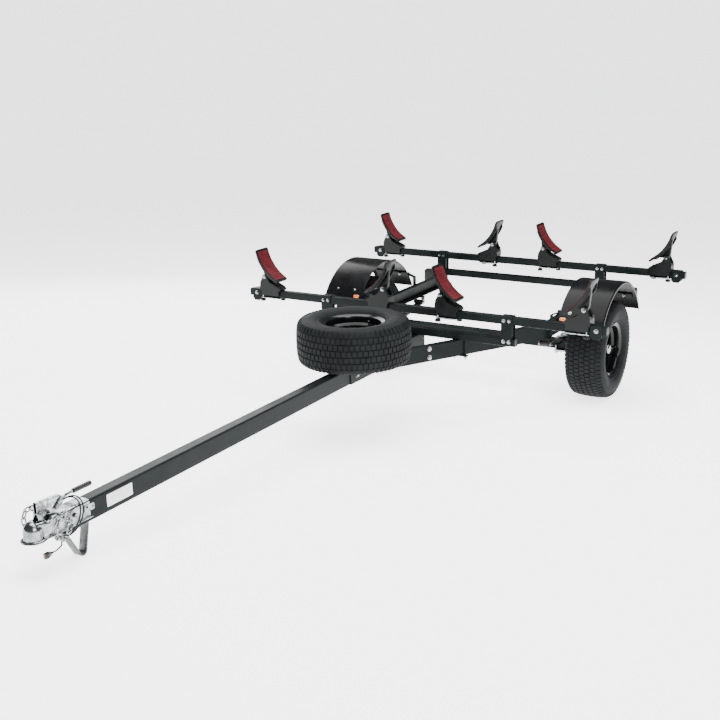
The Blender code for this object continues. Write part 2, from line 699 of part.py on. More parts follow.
def fender(name, side):
    """Arched sheet with a turned-down lip on its outer edge."""
    centre = (AXLE_Y, AXLE_Z + FENDER_RAISE)
    x0 = WHEEL_X - FENDER_WIDTH / 2
    x1 = WHEEL_X + FENDER_WIDTH / 2
    lip = 0.014
    sections = []
    x_in = x1 - FENDER_SHEET
    outline = [(x0, -FENDER_SHEET), (x0, 0.0), (x1 - 0.008, 0.0), (x1, -0.008), (x1, -lip - FENDER_SHEET),
               (x_in, -lip - FENDER_SHEET), (x_in, -0.009), (x1 - 0.009, -FENDER_SHEET)]
    for i in range(FENDER_STEPS + 1):
        angle = FENDER_FIRST + (FENDER_LAST - FENDER_FIRST) * i / FENDER_STEPS
        sections.append([(x, centre[0] + (FENDER_RADIUS + r) * math.cos(angle),
                          centre[1] + (FENDER_RADIUS + r) * math.sin(angle)) for x, r in outline])
    finish(name, on_side(loft(sections), side), BLACK_SHEET)


def fender_bracket(name, side):
    """Plate on the rail's outer face with two arms that reach out under the arch's ends."""
    centre_z = AXLE_Z + FENDER_RAISE
    x0 = RAIL_HALF_WIDTH + GAP
    plate_top = TONGUE_TOP - 0.008
    facet = (FENDER_LAST - FENDER_FIRST) / FENDER_STEPS
    reach = (FENDER_RADIUS - FENDER_SHEET) * math.cos(facet / 2) - GAP - 0.0025
    arm_length = 0.225
    arm_start = 0.0325
    parts = []
    ends = []
    for angle in (FENDER_FIRST + 1.5 * facet, FENDER_LAST - 1.5 * facet):
        y = AXLE_Y + reach * math.cos(angle)
        z = centre_z + reach * math.sin(angle)
        ends.append(y)
        upright = [(x0, TONGUE_BOTTOM + 0.012), (x0 + 0.005, TONGUE_BOTTOM + 0.012), (x0 + 0.005, z - 0.014),
                   (x0 + 0.042, z - 0.0025), (x0 + 0.042, z + 0.0025), (x0, z - 0.012)]
        parts.append(prism(upright, y - 0.016, y + 0.016, "Y"))
        arm = box((arm_length, 0.032, 0.005), (0.0, 0.0, 0.0))
        tilt = angle - math.pi / 2
        bmesh.ops.rotate(arm, verts=arm.verts, cent=(0, 0, 0), matrix=Matrix.Rotation(tilt, 3, "X"))
        bmesh.ops.translate(arm, verts=arm.verts, vec=(x0 + arm_start + arm_length / 2, y, z))
        parts.append(arm)
    low, high = min(ends) - 0.016, max(ends) + 0.016
    plate = box((0.005, high - low, plate_top - TONGUE_BOTTOM - 0.012),
                (x0 + 0.0025, (low + high) / 2, (plate_top + TONGUE_BOTTOM + 0.012) / 2))
    finish(name, on_side(joined([plate] + parts), side), BLACK_STEEL)


def tail_light(name, side):
    """Lamp housing on the rail's outer face at its rear end."""
    x0 = RAIL_HALF_WIDTH + GAP
    z = TONGUE_TOP - TONGUE_HEIGHT / 2
    middle = (x0 + 0.079, z)
    housing = rounded_rectangle(0.150, 0.080, 0.010, middle, 2)
    window = rounded_rectangle(0.138, 0.068, 0.008, middle, 2)
    body = prism(housing, RAIL_REAR - 0.012, RAIL_REAR + 0.030, "Y")
    lens = prism(window, RAIL_REAR + 0.028, RAIL_REAR + 0.038, "Y")
    arm = box((0.030, 0.030, 0.040), (x0 + 0.015, RAIL_REAR - 0.022, z))
    finish(name, on_side(joined([body, lens, arm]), side), RED_LENS)


# Coupler, latch and stand.

def coupler_body():
    """Pressed shell: a dome over the ball, a neck, and a channel that wraps the tongue's end."""
    wall = COUPLER_SHEET
    inside_top = TONGUE_TOP + GAP
    side_in = TONGUE_WIDTH / 2 + GAP
    stations = [(-0.004, 0.0255, BALL_Z + 0.030), (0.020, 0.0270, BALL_Z + 0.029),
                (0.060, 0.0285, BALL_Z + 0.027), (0.108, side_in + wall, inside_top + wall),
                (COUPLER_REAR, side_in + wall, inside_top + wall)]
    lip = 0.011
    sections = []
    for y, half, top in stations:
        corner = 0.009
        right = [(half + lip, COUPLER_LIP_Z), (half + lip, COUPLER_LIP_Z + wall),
                 (half, COUPLER_LIP_Z + wall + 0.003)]
        right += arc((half - corner, top - corner), corner, 0.0, math.pi / 2, 3)
        left = [(-x, z) for x, z in right[::-1]]
        inner_half, inner_top = half - wall, top - wall
        inner_corner = 0.0055
        under = [(-half - 0.001, COUPLER_LIP_Z), (-inner_half, COUPLER_LIP_Z + 0.003)]
        arch = arc((inner_half - inner_corner, inner_top - inner_corner), inner_corner, 0.0, math.pi / 2, 3)
        under += [(-x, z) for x, z in arch]
        under += arch[::-1]
        under += [(inner_half, COUPLER_LIP_Z + 0.003), (half + 0.001, COUPLER_LIP_Z)]
        sections.append([(x, y, z) for x, z in right + left + under])
    channel = loft(sections)
    dome = [(0.0, BALL_Z + DOME_RADIUS)]
    dome += arc((0.0, BALL_Z), DOME_RADIUS, math.pi / 2, 0.0, 5)[1:]
    dome += [(DOME_RADIUS, COUPLER_LIP_Z + wall + 0.003), (DOME_RADIUS + 0.003, COUPLER_LIP_Z + wall),
             (DOME_RADIUS + lip, COUPLER_LIP_Z + wall), (DOME_RADIUS + lip, COUPLER_LIP_Z),
             (0.0, COUPLER_LIP_Z)]
    cap = turned(dome, DOME_STEPS, (0, 0, 0), "Z")
    socket = [(0.0, BALL_Z + SOCKET_RADIUS)]
    socket += arc((0.0, BALL_Z), SOCKET_RADIUS, math.pi / 2, 0.0, 4)[1:]
    socket += [(SOCKET_RADIUS, COUPLER_LIP_Z - 0.01), (0.0, COUPLER_LIP_Z - 0.01)]
    hollow = turned(socket, DOME_STEPS, (0, 0, 0), "Z")
    passage = box((0.044, 0.070, 0.060), (0.0, 0.038, BALL_Z - 0.010))
    solid = cut(joined([cap, channel]), [hollow, passage])
    ears = []
    for side in (1, -1):
        outline = [(LATCH_PIVOT[0] - 0.012, BALL_Z + 0.026), (LATCH_PIVOT[0] + 0.016, BALL_Z + 0.025)]
        outline += arc(LATCH_PIVOT, 0.0085, 0.0, math.pi, 5)
        ears.append(prism(outline, side * 0.0085, side * 0.0125, "X"))
    pin = rod((-0.0125, *LATCH_PIVOT), (0.0125, *LATCH_PIVOT), 0.0040, 10)
    clamp_pin = rod((-side_in - 0.001, *CLAMP_PIVOT), (side_in + 0.001, *CLAMP_PIVOT), CLAMP_PIN, 8)
    finish("coupler_body", joined([solid] + ears + [pin, clamp_pin]), ZINC)


def coupler_latch():
    """Folded box lever on its pivot, with the bent rod that carries the grip."""
    pivot_y, pivot_z = LATCH_PIVOT
    half = LATCH_BOX_WIDTH / 2
    sheet = 0.0025
    y0 = pivot_y - 0.016
    y1 = y0 + LATCH_BOX_LENGTH
    top = pivot_z + LATCH_BOX_HEIGHT
    foot = pivot_z - 0.006
    side_outline = [(y0, foot + 0.006), (y0 + 0.004, foot), (y1 - 0.020, foot), (y1, foot + 0.012),
                    (y1, top - 0.014), (y1 - 0.016, top - 0.004), (y0 + 0.006, top), (y0, top - 0.006)]
    shell = prism(side_outline, -half, half, "X")
    inner = [(y0 - 0.01, foot - 0.01), (y1 - 0.006, foot - 0.01), (y1 - 0.006, top - 0.020),
             (y0 - 0.01, top - sheet - 0.004)]
    hollow = prism(inner, -half + sheet, half - sheet, "X")
    shell = cut(shell, [hollow])
    web = []
    for side in (1, -1):
        web.append(prism(circle(LATCH_PIVOT, 0.0075, 12), side * 0.0130, side * (half - 0.001), "X"))
    path = [(0.0, y1 - 0.008, top - 0.030), (0.0, y1 + 0.014, top - 0.036), (0.0, y1 + 0.030, top - 0.034),
            (0.0, y1 + 0.046, top - 0.031), (0.0, y1 + 0.150, top - 0.027)]
    lever = pipe(path, ROD_RADIUS, 8)
    pivot = (0.0, *LATCH_PIVOT)
    finish("coupler_latch", local(joined([shell] + web + [lever]), pivot), ZINC, pivot)
    grip_start = Vector(path[3]).lerp(Vector(path[4]), 0.20)
    grip_end = Vector(path[3]).lerp(Vector(path[4]), 1.04)
    grip = pipe([grip_start, grip_end], GRIP_RADIUS, 12)
    bore = pipe([Vector(path[3]), Vector(path[3]).lerp(Vector(path[4]), 1.003)], ROD_RADIUS + GAP, 12)
    finish("latch_grip", local(cut(grip, [bore]), pivot), BLACK_PLASTIC, pivot)


def local(solid, origin):
    """Move a solid drawn in trailer coordinates so that its own origin is the given point."""
    bmesh.ops.translate(solid, verts=solid.verts, vec=-Vector(origin))
    return solid


def ball_clamp():
    """Jaw that cups the ball below its middle and swings down on its own pin to let it go."""
    path = [(0.0230, BALL_Z - 0.0165), (0.0275, BALL_Z - 0.009), (0.036, BALL_Z - 0.001),
            (0.050, BALL_Z + 0.003), CLAMP_PIVOT]
    jaw = prism(strip(path, JAW_THICKNESS), -JAW_HALF_WIDTH, JAW_HALF_WIDTH, "X")
    boss = prism(circle(CLAMP_PIVOT, 0.0075, 12), -JAW_HALF_WIDTH, JAW_HALF_WIDTH, "X")
    bore = prism(circle(CLAMP_PIVOT, CLAMP_PIN + 0.0004, 12), -0.03, 0.03, "X")
    ball = arc((0.0, BALL_Z), SOCKET_RADIUS, math.pi / 2, -math.pi / 2, 8)
    cup = turned([(abs(r), z) for r, z in ball], DOME_STEPS, (0, 0, 0), "Z")
    solid = cut(joined([jaw, boss]), [bore, cup])
    finish("ball_clamp", local(solid, (0.0, *CLAMP_PIVOT)), ZINC, (0.0, *CLAMP_PIVOT))


def stand_path():
    """Middle line of the strap in side view: along the tongue, down, round the foot and up."""
    top = TONGUE_BOTTOM - GAP - STAND_THICKNESS / 2
    radius = STAND_FOOT_RADIUS - STAND_THICKNESS / 2
    foot = arc(STAND_FOOT, radius, math.radians(-155), math.radians(-8), 8)
    return [(0.118, top), (0.122, top - 0.004)] + foot + [(0.209, top - 0.004), (0.214, top)]


def tongue_stand():
    outer, inner = strip(stand_path(), STAND_THICKNESS, True)
    solid = tube(outer, inner, -STAND_WIDTH / 2, STAND_WIDTH / 2, "X")
    finish("tongue_stand", solid, STRAP_STEEL)


# Hull cradles.

def cradle_base(name, pivot_x, facing, y):
    """Wedge clamped over the bar, with two ears for the wing's bolt, drawn facing outboard."""
    pivot = (0.0, CRADLE_PIVOT_Z)
    bar_top = BAR_Z + BAR_SIZE / 2 + GAP
    ear = 0.0155
    wedge = [(-0.095, bar_top), (0.0315, bar_top), (0.0315, bar_top + 0.030), (0.028, bar_top + 0.046),
             (0.0185, CRADLE_PIVOT_Z - 0.010)]
    wedge += arc(pivot, ear, math.radians(-10), math.radians(200), 4)
    wedge += [(-0.030, bar_top + 0.044), (-0.088, bar_top + 0.018), (-0.095, bar_top + 0.012)]
    body = prism([(u, z) for u, z in wedge], y - 0.031, y + 0.031, "Y")
    slot = [(-0.034, bar_top + 0.048), (-0.020, bar_top + 0.038), (0.060, bar_top + 0.038),
            (0.060, CRADLE_PIVOT_Z + 0.03), (-0.034, CRADLE_PIVOT_Z + 0.03)]
    gap = prism(slot, y - 0.0125, y + 0.0125, "Y")
    cheek = 0.0115
    cheeks = []
    for side in (-1, 1):
        middle = y + side * (BAR_SIZE / 2 + GAP + cheek / 2)
        cheeks.append(box((0.110, cheek, 0.030), (-0.030, middle, bar_top - 0.012)))
    bolt = rod((0.0, y - 0.030, CRADLE_PIVOT_Z), (0.0, y + 0.030, CRADLE_PIVOT_Z), 0.0050, 6)
    solid = joined([cut(body, [gap])] + cheeks + [bolt])
    place_cradle(name, solid, pivot_x, facing, y)


def wing_path():
    """Face of the wing in end view, from its low inner end to its tip, about the pivot."""
    centre = (-0.200, 0.193)
    return arc(centre, 0.240, math.radians(-63), math.radians(-12), 6)


def cradle_wing(name, pivot_x, facing, y):
    """Curved wing that carries the hull, ribbed behind, with the lug for its bolt."""
    face = [(u, CRADLE_PIVOT_Z + z) for u, z in wing_path()]
    pad = prism(strip(face, WING_SHEET), y - WING_WIDTH / 2, y + WING_WIDTH / 2, "Y")
    pivot = (0.0, CRADLE_PIVOT_Z)
    lug = face[1:5] + [(0.018, CRADLE_PIVOT_Z + 0.020)]
    lug += arc(pivot, 0.0130, math.radians(10), math.radians(-170), 4)
    rib = prism(lug, y - 0.0115, y + 0.0115, "Y")
    bore = rod((0.0, y - 0.03, CRADLE_PIVOT_Z), (0.0, y + 0.03, CRADLE_PIVOT_Z), 0.0062, 6)
    solid = cut(joined([pad, rib]), [bore])
    place_cradle(name, solid, pivot_x, facing, y)


def place_cradle(name, solid, pivot_x, facing, y):
    """Mirror a cradle piece that faces inboard, with its origin on the pivot's axis."""
    pivot = (0.0, y, CRADLE_PIVOT_Z)
    finish(name, on_side(local(solid, pivot), facing), BLACK_PLASTIC, (pivot_x, y, CRADLE_PIVOT_Z))


def cradles():
    """Two cradles face each other under each hull, on both bars."""
    inner_x = 2 * KAYAK_CENTRE_X - CRADLE_PIVOT_X
    for bar, y in BARS:
        for label, side in SIDES:
            outer = ("outer", side * CRADLE_PIVOT_X, side)
            inner = ("inner", side * inner_x, -side)
            for where, pivot_x, facing in (outer, inner):
                cradle_base(f"cradle_base_{bar}_{label}_{where}", pivot_x, facing, y)
                cradle_wing(f"cradle_wing_{bar}_{label}_{where}", pivot_x, facing, y)


# Chains and lead at the coupler.

def chain_link(centre, along, across):
    """One oval link: round wire along a stadium, drawn so that neighbours just touch inside each other."""
    along, across = along.normalized(), across.normalized()
    half_width = LINK_WIDTH / 2 - LINK_WIRE
    straight = LINK_PITCH / 2 + LINK_WIRE - LINK_BEARING - half_width
    points = []
    for end in (1, -1):
        for i in range(4):
            t = math.radians(-90 + 60 * i)
            points.append(centre + along * end * (straight + half_width * math.cos(t))
                          + across * end * half_width * math.sin(t))
    return pipe(points, LINK_WIRE, LINK_SIDES, ring=True)


def evenly(path, pitch):
    """Points at a fixed straight distance from each other along a dense path."""
    found = [path[0]]
    for a, b in zip(path, path[1:]):
        while (b - found[-1]).length >= pitch:
            low, high = 0.0, 1.0
            for _ in range(30):
                middle = (low + high) / 2
                if (a.lerp(b, middle) - found[-1]).length < pitch:
                    low = middle
                else:
                    high = middle
            found.append(a.lerp(b, high))
            a = found[-1]
    return found


def chain_route(side):
    """Each chain hangs in a slack loop beside the coupler's neck."""
    points = []
    turns = 1.15
    steps = 220
    for i in range(steps + 1):
        t = i / steps
        angle = math.radians(62) - 2 * math.pi * turns * t
        radius_y, radius_z = 0.036 - 0.004 * t, 0.043 - 0.004 * t
        points.append(Vector((side * (0.0525 + 0.028 * t), 0.064 + radius_y * math.cos(angle) - 0.008 * t,
                              0.416 + radius_z * math.sin(angle) - 0.006 * t)))
    return points


def safety_chain(name, side):
    joints = evenly(chain_route(side), LINK_PITCH)
    links = []
    for index, (a, b) in enumerate(zip(joints, joints[1:])):
        along = (b - a).normalized()
        outward = Vector((side, 0, 0))
        flat = (outward - along * outward.dot(along)).normalized()
        across = flat if index % 2 else along.cross(flat)
        tilt = Matrix.Rotation(math.radians(12), 3, along)
        links.append(chain_link((a + b) / 2, along, tilt @ across))
    finish(name, joined(links), ZINC)


def smooth_route(points, steps):
    """Points read from a smooth curve through the given ones."""
    found = []
    padded = [2 * points[0] - points[1]] + points + [2 * points[-1] - points[-2]]
    for before, start, end, after in zip(padded, padded[1:], padded[2:], padded[3:]):
        for i in range(steps):
            t = i / steps
            bend = 2 * before - 5 * start + 4 * end - after
            twist = 3 * start - before - 3 * end + after
            found.append(0.5 * (2 * start + (end - before) * t + bend * t ** 2 + twist * t ** 3))
    return found + [points[-1]]


def lead_route():
    """Lead out of the tongue's open end, twice round the coupler's neck, then forward to its plug."""
    exit_points = [(0.0, 0.124, 0.3672), (0.0, 0.112, 0.3670), (-0.006, 0.101, 0.3590),
                   (-0.017, 0.092, 0.3520)]
    start = smooth_route([Vector(p) for p in exit_points], 3)
    turns = 2.0
    per_turn = 24
    first = math.radians(-118)
    middle_z = 0.4030
    loops = []
    for i in range(int(turns * per_turn) + 3):
        t = i / (turns * per_turn)
        angle = first - 2 * math.pi * turns * t
        rise = 0.0550 * math.sin(angle)
        reach = 0.0555 + 0.004 * t
        loops.append(Vector((reach * math.cos(angle), 0.128 + 0.022 * t + 0.75 * rise, middle_z + rise)))
    plug_x, plug_y, plug_z = PLUG_CENTRE
    plug_rear = plug_y + PLUG_SIZE[1] / 2
    hanging = [(0.020, 0.090, 0.3410), (0.038, 0.062, 0.3370), (0.046, 0.038, 0.3385),
               (plug_x, plug_rear + 0.0075, plug_z), (plug_x, plug_rear + 0.0005, plug_z)]
    end = smooth_route([loops[-1]] + [Vector(p) for p in hanging], 3)
    return start + loops + end[1:]


def least_gap(points, radius):
    """Smallest clear distance between stretches of a tube that are not next to each other."""
    best = 1.0
    for i, p in enumerate(points):
        travelled = 0.0
        for j in range(i + 1, len(points)):
            travelled += (points[j] - points[j - 1]).length
            if travelled > 8 * radius:
                best = min(best, (points[j] - p).length - 2 * radius)
    return best


def wiring_lead():
    points = lead_route()
    print("lead length", round(sum((b - a).length for a, b in zip(points, points[1:])), 4),
          "least gap to itself", round(least_gap(points, LEAD_RADIUS) * 1000, 2), "mm")
    curve = bpy.data.curves.new("wiring_lead", "CURVE")
    curve.dimensions = "3D"
    curve.bevel_depth = LEAD_RADIUS
    curve.bevel_resolution = 1
    curve.use_fill_caps = True
    spline = curve.splines.new("POLY")
    spline.points.add(len(points) - 1)
    for target, point in zip(spline.points, points):
        target.co = (*point, 1.0)
    curve.materials.append(make_material("wiring_lead", BLACK_PLASTIC))
    piece = bpy.data.objects.new("wiring_lead", curve)
    bpy.context.scene.collection.objects.link(piece)
    piece.parent = TRAILER


def wiring_connector():
    """Flat four-way plug on the lead's end."""
    width, length, height = PLUG_SIZE
    x, y, z = PLUG_CENTRE
    body = prism(rounded_rectangle(width, height, 0.003, (x, z), 2), y - length / 2, y + length / 2, "Y")
    sockets = []
    for i in range(3):
        z_pin = z + height * (0.25 - 0.25 * i)
        sockets.append(rod((x, y - length / 2 - 0.001, z_pin), (x, y - length / 2 + 0.010, z_pin), 0.0020, 6))
    finish("wiring_connector", cut(body, sockets), BLACK_PLASTIC)


def parked_pitch():
    """Angle of the line that touches both the tyre and the round foot of the stand."""
    away = AXLE_Y - STAND_FOOT[0]
    up = AXLE_Z - STAND_FOOT[1]
    return math.asin((TYRE_RADIUS - STAND_FOOT_RADIUS) / math.hypot(away, up)) - math.atan2(up, away)


def set_down():
    """Tip the trailer onto its stand and put the middle of its footprint at the origin."""
    TRAILER.rotation_euler = (parked_pitch(), 0.0, 0.0)
    bpy.context.view_layer.update()
    corners = []
    for piece in bpy.data.objects:
        if piece.type == "MESH":
            corners += [piece.matrix_world @ vert.co for vert in piece.data.vertices]
    low_y = min(corner.y for corner in corners)
    high_y = max(corner.y for corner in corners)
    low_z = min(corner.z for corner in corners)
    TRAILER.location = (0.0, -(low_y + high_y) / 2, -low_z)
    bpy.context.view_layer.update()
    print("tipped", round(math.degrees(parked_pitch()), 3), "degrees; moved", tuple(TRAILER.location))
    print("length", round(high_y - low_y, 4))


tongue_beam()
coupler_body()
coupler_latch()
ball_clamp()
tongue_stand()
rail_middle, rail_breadth = slanted_rail_at(FRONT_BAR_Y)
crossbeam("front_crossbeam", FRONT_BAR_Y, rail_middle, rail_breadth + 0.016)
crossbeam("rear_crossbeam", REAR_BAR_Y, RAIL_HALF_WIDTH - RAIL_FLANGE / 2, RAIL_FLANGE + 0.0105)
load_bar("bar_front", FRONT_BAR_Y)
load_bar("bar_rear", REAR_BAR_Y)
axle()
spare_wheel()
spare_carrier()
wiring_lead()
wiring_connector()
for label, side in SIDES:
    side_rail("rail_" + label, side)
    leaf_spring("leaf_spring_" + label, side)
    spring_clamp("spring_clamp_" + label, side)
    road_wheel(label, side)
    fender("fender_" + label, side)
    fender_bracket("fender_bracket_" + label, side)
    tail_light("tail_light_" + label, side)
    safety_chain("safety_chain_" + label, side)
    for bar, y in BARS:
        bar_riser(f"riser_{bar}_{label}", side, y)
        strap_anchor(f"strap_anchor_{bar}_{label}", side, y)
cradles()
set_down()
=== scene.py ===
# %% [markdown]
# # Dressing a light kayak trailer
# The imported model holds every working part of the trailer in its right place. This script gives it
# the looks: finer surfaces where a coarse solid would show its facets, the small hardware, and a
# finish for each part. It could all be done by hand in the editor, but a script repeats a bolt forty
# times without tiring, and every number in it can be read again later.

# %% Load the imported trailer
import math

import bmesh
import bpy
from mathutils import Matrix, Vector


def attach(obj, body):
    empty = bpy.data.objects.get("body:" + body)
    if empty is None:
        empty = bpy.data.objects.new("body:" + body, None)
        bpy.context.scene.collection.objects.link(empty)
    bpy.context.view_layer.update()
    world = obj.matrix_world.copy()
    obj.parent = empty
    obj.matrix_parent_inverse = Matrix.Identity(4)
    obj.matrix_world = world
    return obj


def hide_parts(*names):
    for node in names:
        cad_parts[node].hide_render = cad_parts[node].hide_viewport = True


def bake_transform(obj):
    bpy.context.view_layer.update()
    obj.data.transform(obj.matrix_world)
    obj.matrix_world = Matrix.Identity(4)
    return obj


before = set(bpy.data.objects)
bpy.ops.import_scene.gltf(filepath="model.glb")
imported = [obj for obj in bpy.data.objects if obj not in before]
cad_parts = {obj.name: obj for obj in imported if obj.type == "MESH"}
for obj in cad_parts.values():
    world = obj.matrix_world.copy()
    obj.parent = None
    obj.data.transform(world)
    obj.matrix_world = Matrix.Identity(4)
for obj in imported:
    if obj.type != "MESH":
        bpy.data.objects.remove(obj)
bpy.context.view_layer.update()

# %% [markdown]
# ## Level and parked
# The trailer is easiest to think of as level: X to its left, Y rearward from the middle of the ball
# socket, Z up. It stands parked on its wheels and the strap under its tongue, which tips the nose
# down. So each piece is drawn level, and one matrix then sets it down as it parks.

# %% The parked attitude
PARKED_PITCH = math.radians(4.718)
PARKED_SHIFT = (0.0, -1.9280939, -0.2659793)
PARKED = Matrix.Translation(PARKED_SHIFT) @ Matrix.Rotation(PARKED_PITCH, 4, "X")
print("the ball socket is at", tuple(round(v, 4) for v in PARKED @ Vector((0.0, 0.0, 0.412))))

# %% [markdown]
# ## Sizes that pieces share
# Bolts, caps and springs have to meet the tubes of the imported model. So the places of the tubes are
# written down once, level and in metres, and each piece that meets a tube reads them from here.

# %% Shared sizes
SIDES = (("left", 1), ("right", -1))
BARS = (("front", 2.497), ("rear", 3.830))
TONGUE_TOP, TONGUE_BOTTOM = 0.437, 0.3608
TONGUE_MIDDLE = (TONGUE_TOP + TONGUE_BOTTOM) / 2
GAP = 0.0003
HALF_TUBE = 0.01905
BAR_Z = 0.561
BEAM_Z = TONGUE_TOP + GAP + HALF_TUBE
AXLE = (3.2445, 0.260)
HALF_AXLE = 0.0254
WHEEL_X = 0.6975
SPRING_X, SPRING_WIDTH, LEAF = 0.509, 0.0445, 0.0065
LEAF_MIDDLE = AXLE[1] + HALF_AXLE + GAP + 1.5 * LEAF
EYE_AWAY, EYE_HEIGHT = 0.275, LEAF_MIDDLE + 0.034
print("crossbeams at", round(BEAM_Z, 5), "and spring eyes at", round(EYE_HEIGHT, 5))

# %% [markdown]
# ## The camera
# The camera stands in front of the trailer's left corner, above the bars, and looks down a little.
# Its place and turn were solved from the known sizes of the tongue tube, the tyres and the bars, so
# a few angles are enough.

# %% Camera
def placed(name, data):
    """An object with this data, put in the scene."""
    made = bpy.data.objects.new(name, data)
    bpy.context.scene.collection.objects.link(made)
    return made


EYE = Vector((2.4391, -2.0687, 1.8269))
TURNED_LEFT = math.radians(31.1295)
LOOKS_DOWN = math.radians(16.3937)
ROLLED = math.radians(-1.3843)
LENS_MM = 53.7655

forward = Vector((-math.sin(TURNED_LEFT) * math.cos(LOOKS_DOWN),
                  math.cos(TURNED_LEFT) * math.cos(LOOKS_DOWN), -math.sin(LOOKS_DOWN)))
level_right = Vector((math.cos(TURNED_LEFT), math.sin(TURNED_LEFT), 0.0))
level_up = level_right.cross(forward)
right = level_right * math.cos(ROLLED) + level_up * math.sin(ROLLED)
up = level_up * math.cos(ROLLED) - level_right * math.sin(ROLLED)
looking = Matrix((right, up, -forward)).transposed().to_4x4()
looking.translation = EYE

camera_data = bpy.data.cameras.new("camera")
camera_data.sensor_width = 36.0
camera_data.lens = LENS_MM
camera = placed("camera", camera_data)
camera.matrix_world = PARKED @ looking
bpy.context.scene.camera = camera
print("camera at", tuple(round(v, 3) for v in camera.matrix_world.translation))

# %% [markdown]
# ## Colours and shader nodes
# A colour is read from a picture or a paint chart as an sRGB hex value, but shaders work in linear
# light, so one function turns it round. Another adds a node with its settings and its links. Three
# more give the shader its colour, its gloss and its bump, so each finish reads like a recipe.

# %% Colour and node helpers
def linear(code):
    """Linear RGBA from an sRGB hex value."""
    channels = [int(code[i:i + 2], 16) / 255 for i in (1, 3, 5)]
    return [c / 12.92 if c <= 0.04045 else ((c + 0.055) / 1.055) ** 2.4 for c in channels] + [1.0]


def add(tree, kind, settings=None, inputs=None):
    """Add a shader node, set its properties, and give each input a value or a link."""
    node = tree.nodes.new("ShaderNode" + kind)
    for name, value in (settings or {}).items():
        setattr(node, name, value)
    for name, value in (inputs or {}).items():
        if isinstance(value, bpy.types.NodeSocket):
            tree.links.new(value, node.inputs[name])
        else:
            node.inputs[name].default_value = value
    return node


def finish_named(name, **values):
    """A material with its node tree and the object's own coordinates."""
    material = bpy.data.materials.new(name)
    material.use_nodes = True
    tree = material.node_tree
    for key, value in values.items():
        tree.nodes["Principled BSDF"].inputs[key].default_value = value
    return material, tree, add(tree, "TexCoord").outputs["Object"]


def shader_takes(tree, name, socket):
    """Link a socket to an input of the material's shader."""
    tree.links.new(socket, tree.nodes["Principled BSDF"].inputs[name])


def grains(millimetres):
    """Scale of a noise whose grains are this far apart."""
    return 1000.0 / millimetres


def noise(tree, place, millimetres, detail, **more):
    """A cloudy value between 0 and 1."""
    return add(tree, "TexNoise", inputs={"Vector": place, "Scale": grains(millimetres), "Detail": detail,
                                         **more}).outputs["Fac"]


def coloured(tree, value, low, high, first, last):
    """Give the shader the first colour below low, the last above high, and a mix between."""
    ramp = add(tree, "ValToRGB", inputs={"Fac": value})
    for stop, at, code in zip(ramp.color_ramp.elements, (low, high), (first, last)):
        stop.position, stop.color = at, linear(code)
    shader_takes(tree, "Base Color", ramp.outputs["Color"])


def glossed(tree, value, low, high, first, last):
    """Let the roughness go from first to last as a value goes from low to high."""
    gloss = add(tree, "MapRange", inputs={"Value": value, "From Min": low, "From Max": high,
                                          "To Min": first, "To Max": last})
    shader_takes(tree, "Roughness", gloss.outputs["Result"])


def bumped(tree, height, strength, depth):
    """Tilt the shader's surface by a height."""
    bump = add(tree, "Bump", inputs={"Height": height, "Strength": strength, "Distance": depth})
    shader_takes(tree, "Normal", bump.outputs["Normal"])


print("black steel in linear light", [round(c, 4) for c in linear("#24292A")])

# %% [markdown]
# ## Painted steel
# Powder coat is sprayed on dry and melted in an oven. It leaves a satin skin with a very fine orange
# peel, so the finish has a low bump, and its gloss changes a little from place to place. The real
# grain is near 0.6 mm, too fine to show from here, so it is drawn at about 1.5 mm. Gloss enamel, on
# the rims and the rolled fenders, flows out smoother and mirrors the studio where it curves away.

# %% Painted finishes
def painted(name, dark, light, roughness, spread, peel_mm, peel_depth, coat, mirror):
    """Paint with a slow change of colour and gloss, and a fine orange peel."""
    material, tree, place = finish_named(name, **{
        "IOR": 1.5, "Specular IOR Level": mirror, "Coat Weight": coat, "Coat Roughness": 0.08})
    slow = noise(tree, place, 90.0, 3.0)
    coloured(tree, slow, 0.35, 0.70, dark, light)
    glossed(tree, slow, 0.3, 0.7, roughness - spread, roughness + spread)
    bumped(tree, noise(tree, place, peel_mm, 2.0), 0.35, peel_depth)
    return material


# Polyester powder coat on structural tube: satin, deep, with a faint peel that dims its reflections.
satin_powder_coat = painted("satin_powder_coat", "#0D1112", "#151A1A", 0.38, 0.05, 1.5, 0.0001, 0.0, 0.07)
# Sprayed enamel on rolled sheet: deep, with long soft reflections that show where it curves away.
gloss_sheet_enamel = painted("gloss_sheet_enamel", "#0B0B0C", "#101112", 0.24, 0.04, 6.0, 0.00006, 0.0,
                             0.08)
# Stoved enamel on pressed wheels: the darkest and glossiest paint here.
gloss_wheel_enamel = painted("gloss_wheel_enamel", "#090A0B", "#0E0F10", 0.18, 0.03, 5.0, 0.00005, 0.05,
                             0.15)
# Dip paint on spring leaves: duller, and a little rusty brown where it is thin.
dipped_spring_paint = painted("dipped_spring_paint", "#181A1B", "#2A2725", 0.48, 0.08, 2.5, 0.0003, 0.0,
                              0.2)
print("painted finishes", 4)

# %% [markdown]
# ## Zinc and bare strap
# Bright zinc is plated on the coupler, the chains and the bolts. It is a mirror seen through breath:
# metallic, fairly sharp, with clouds of a slightly different grey 9 to 30 mm across, and the faint
# lines of the rolled sheet under it. The bent strap has a dull grey coat instead.

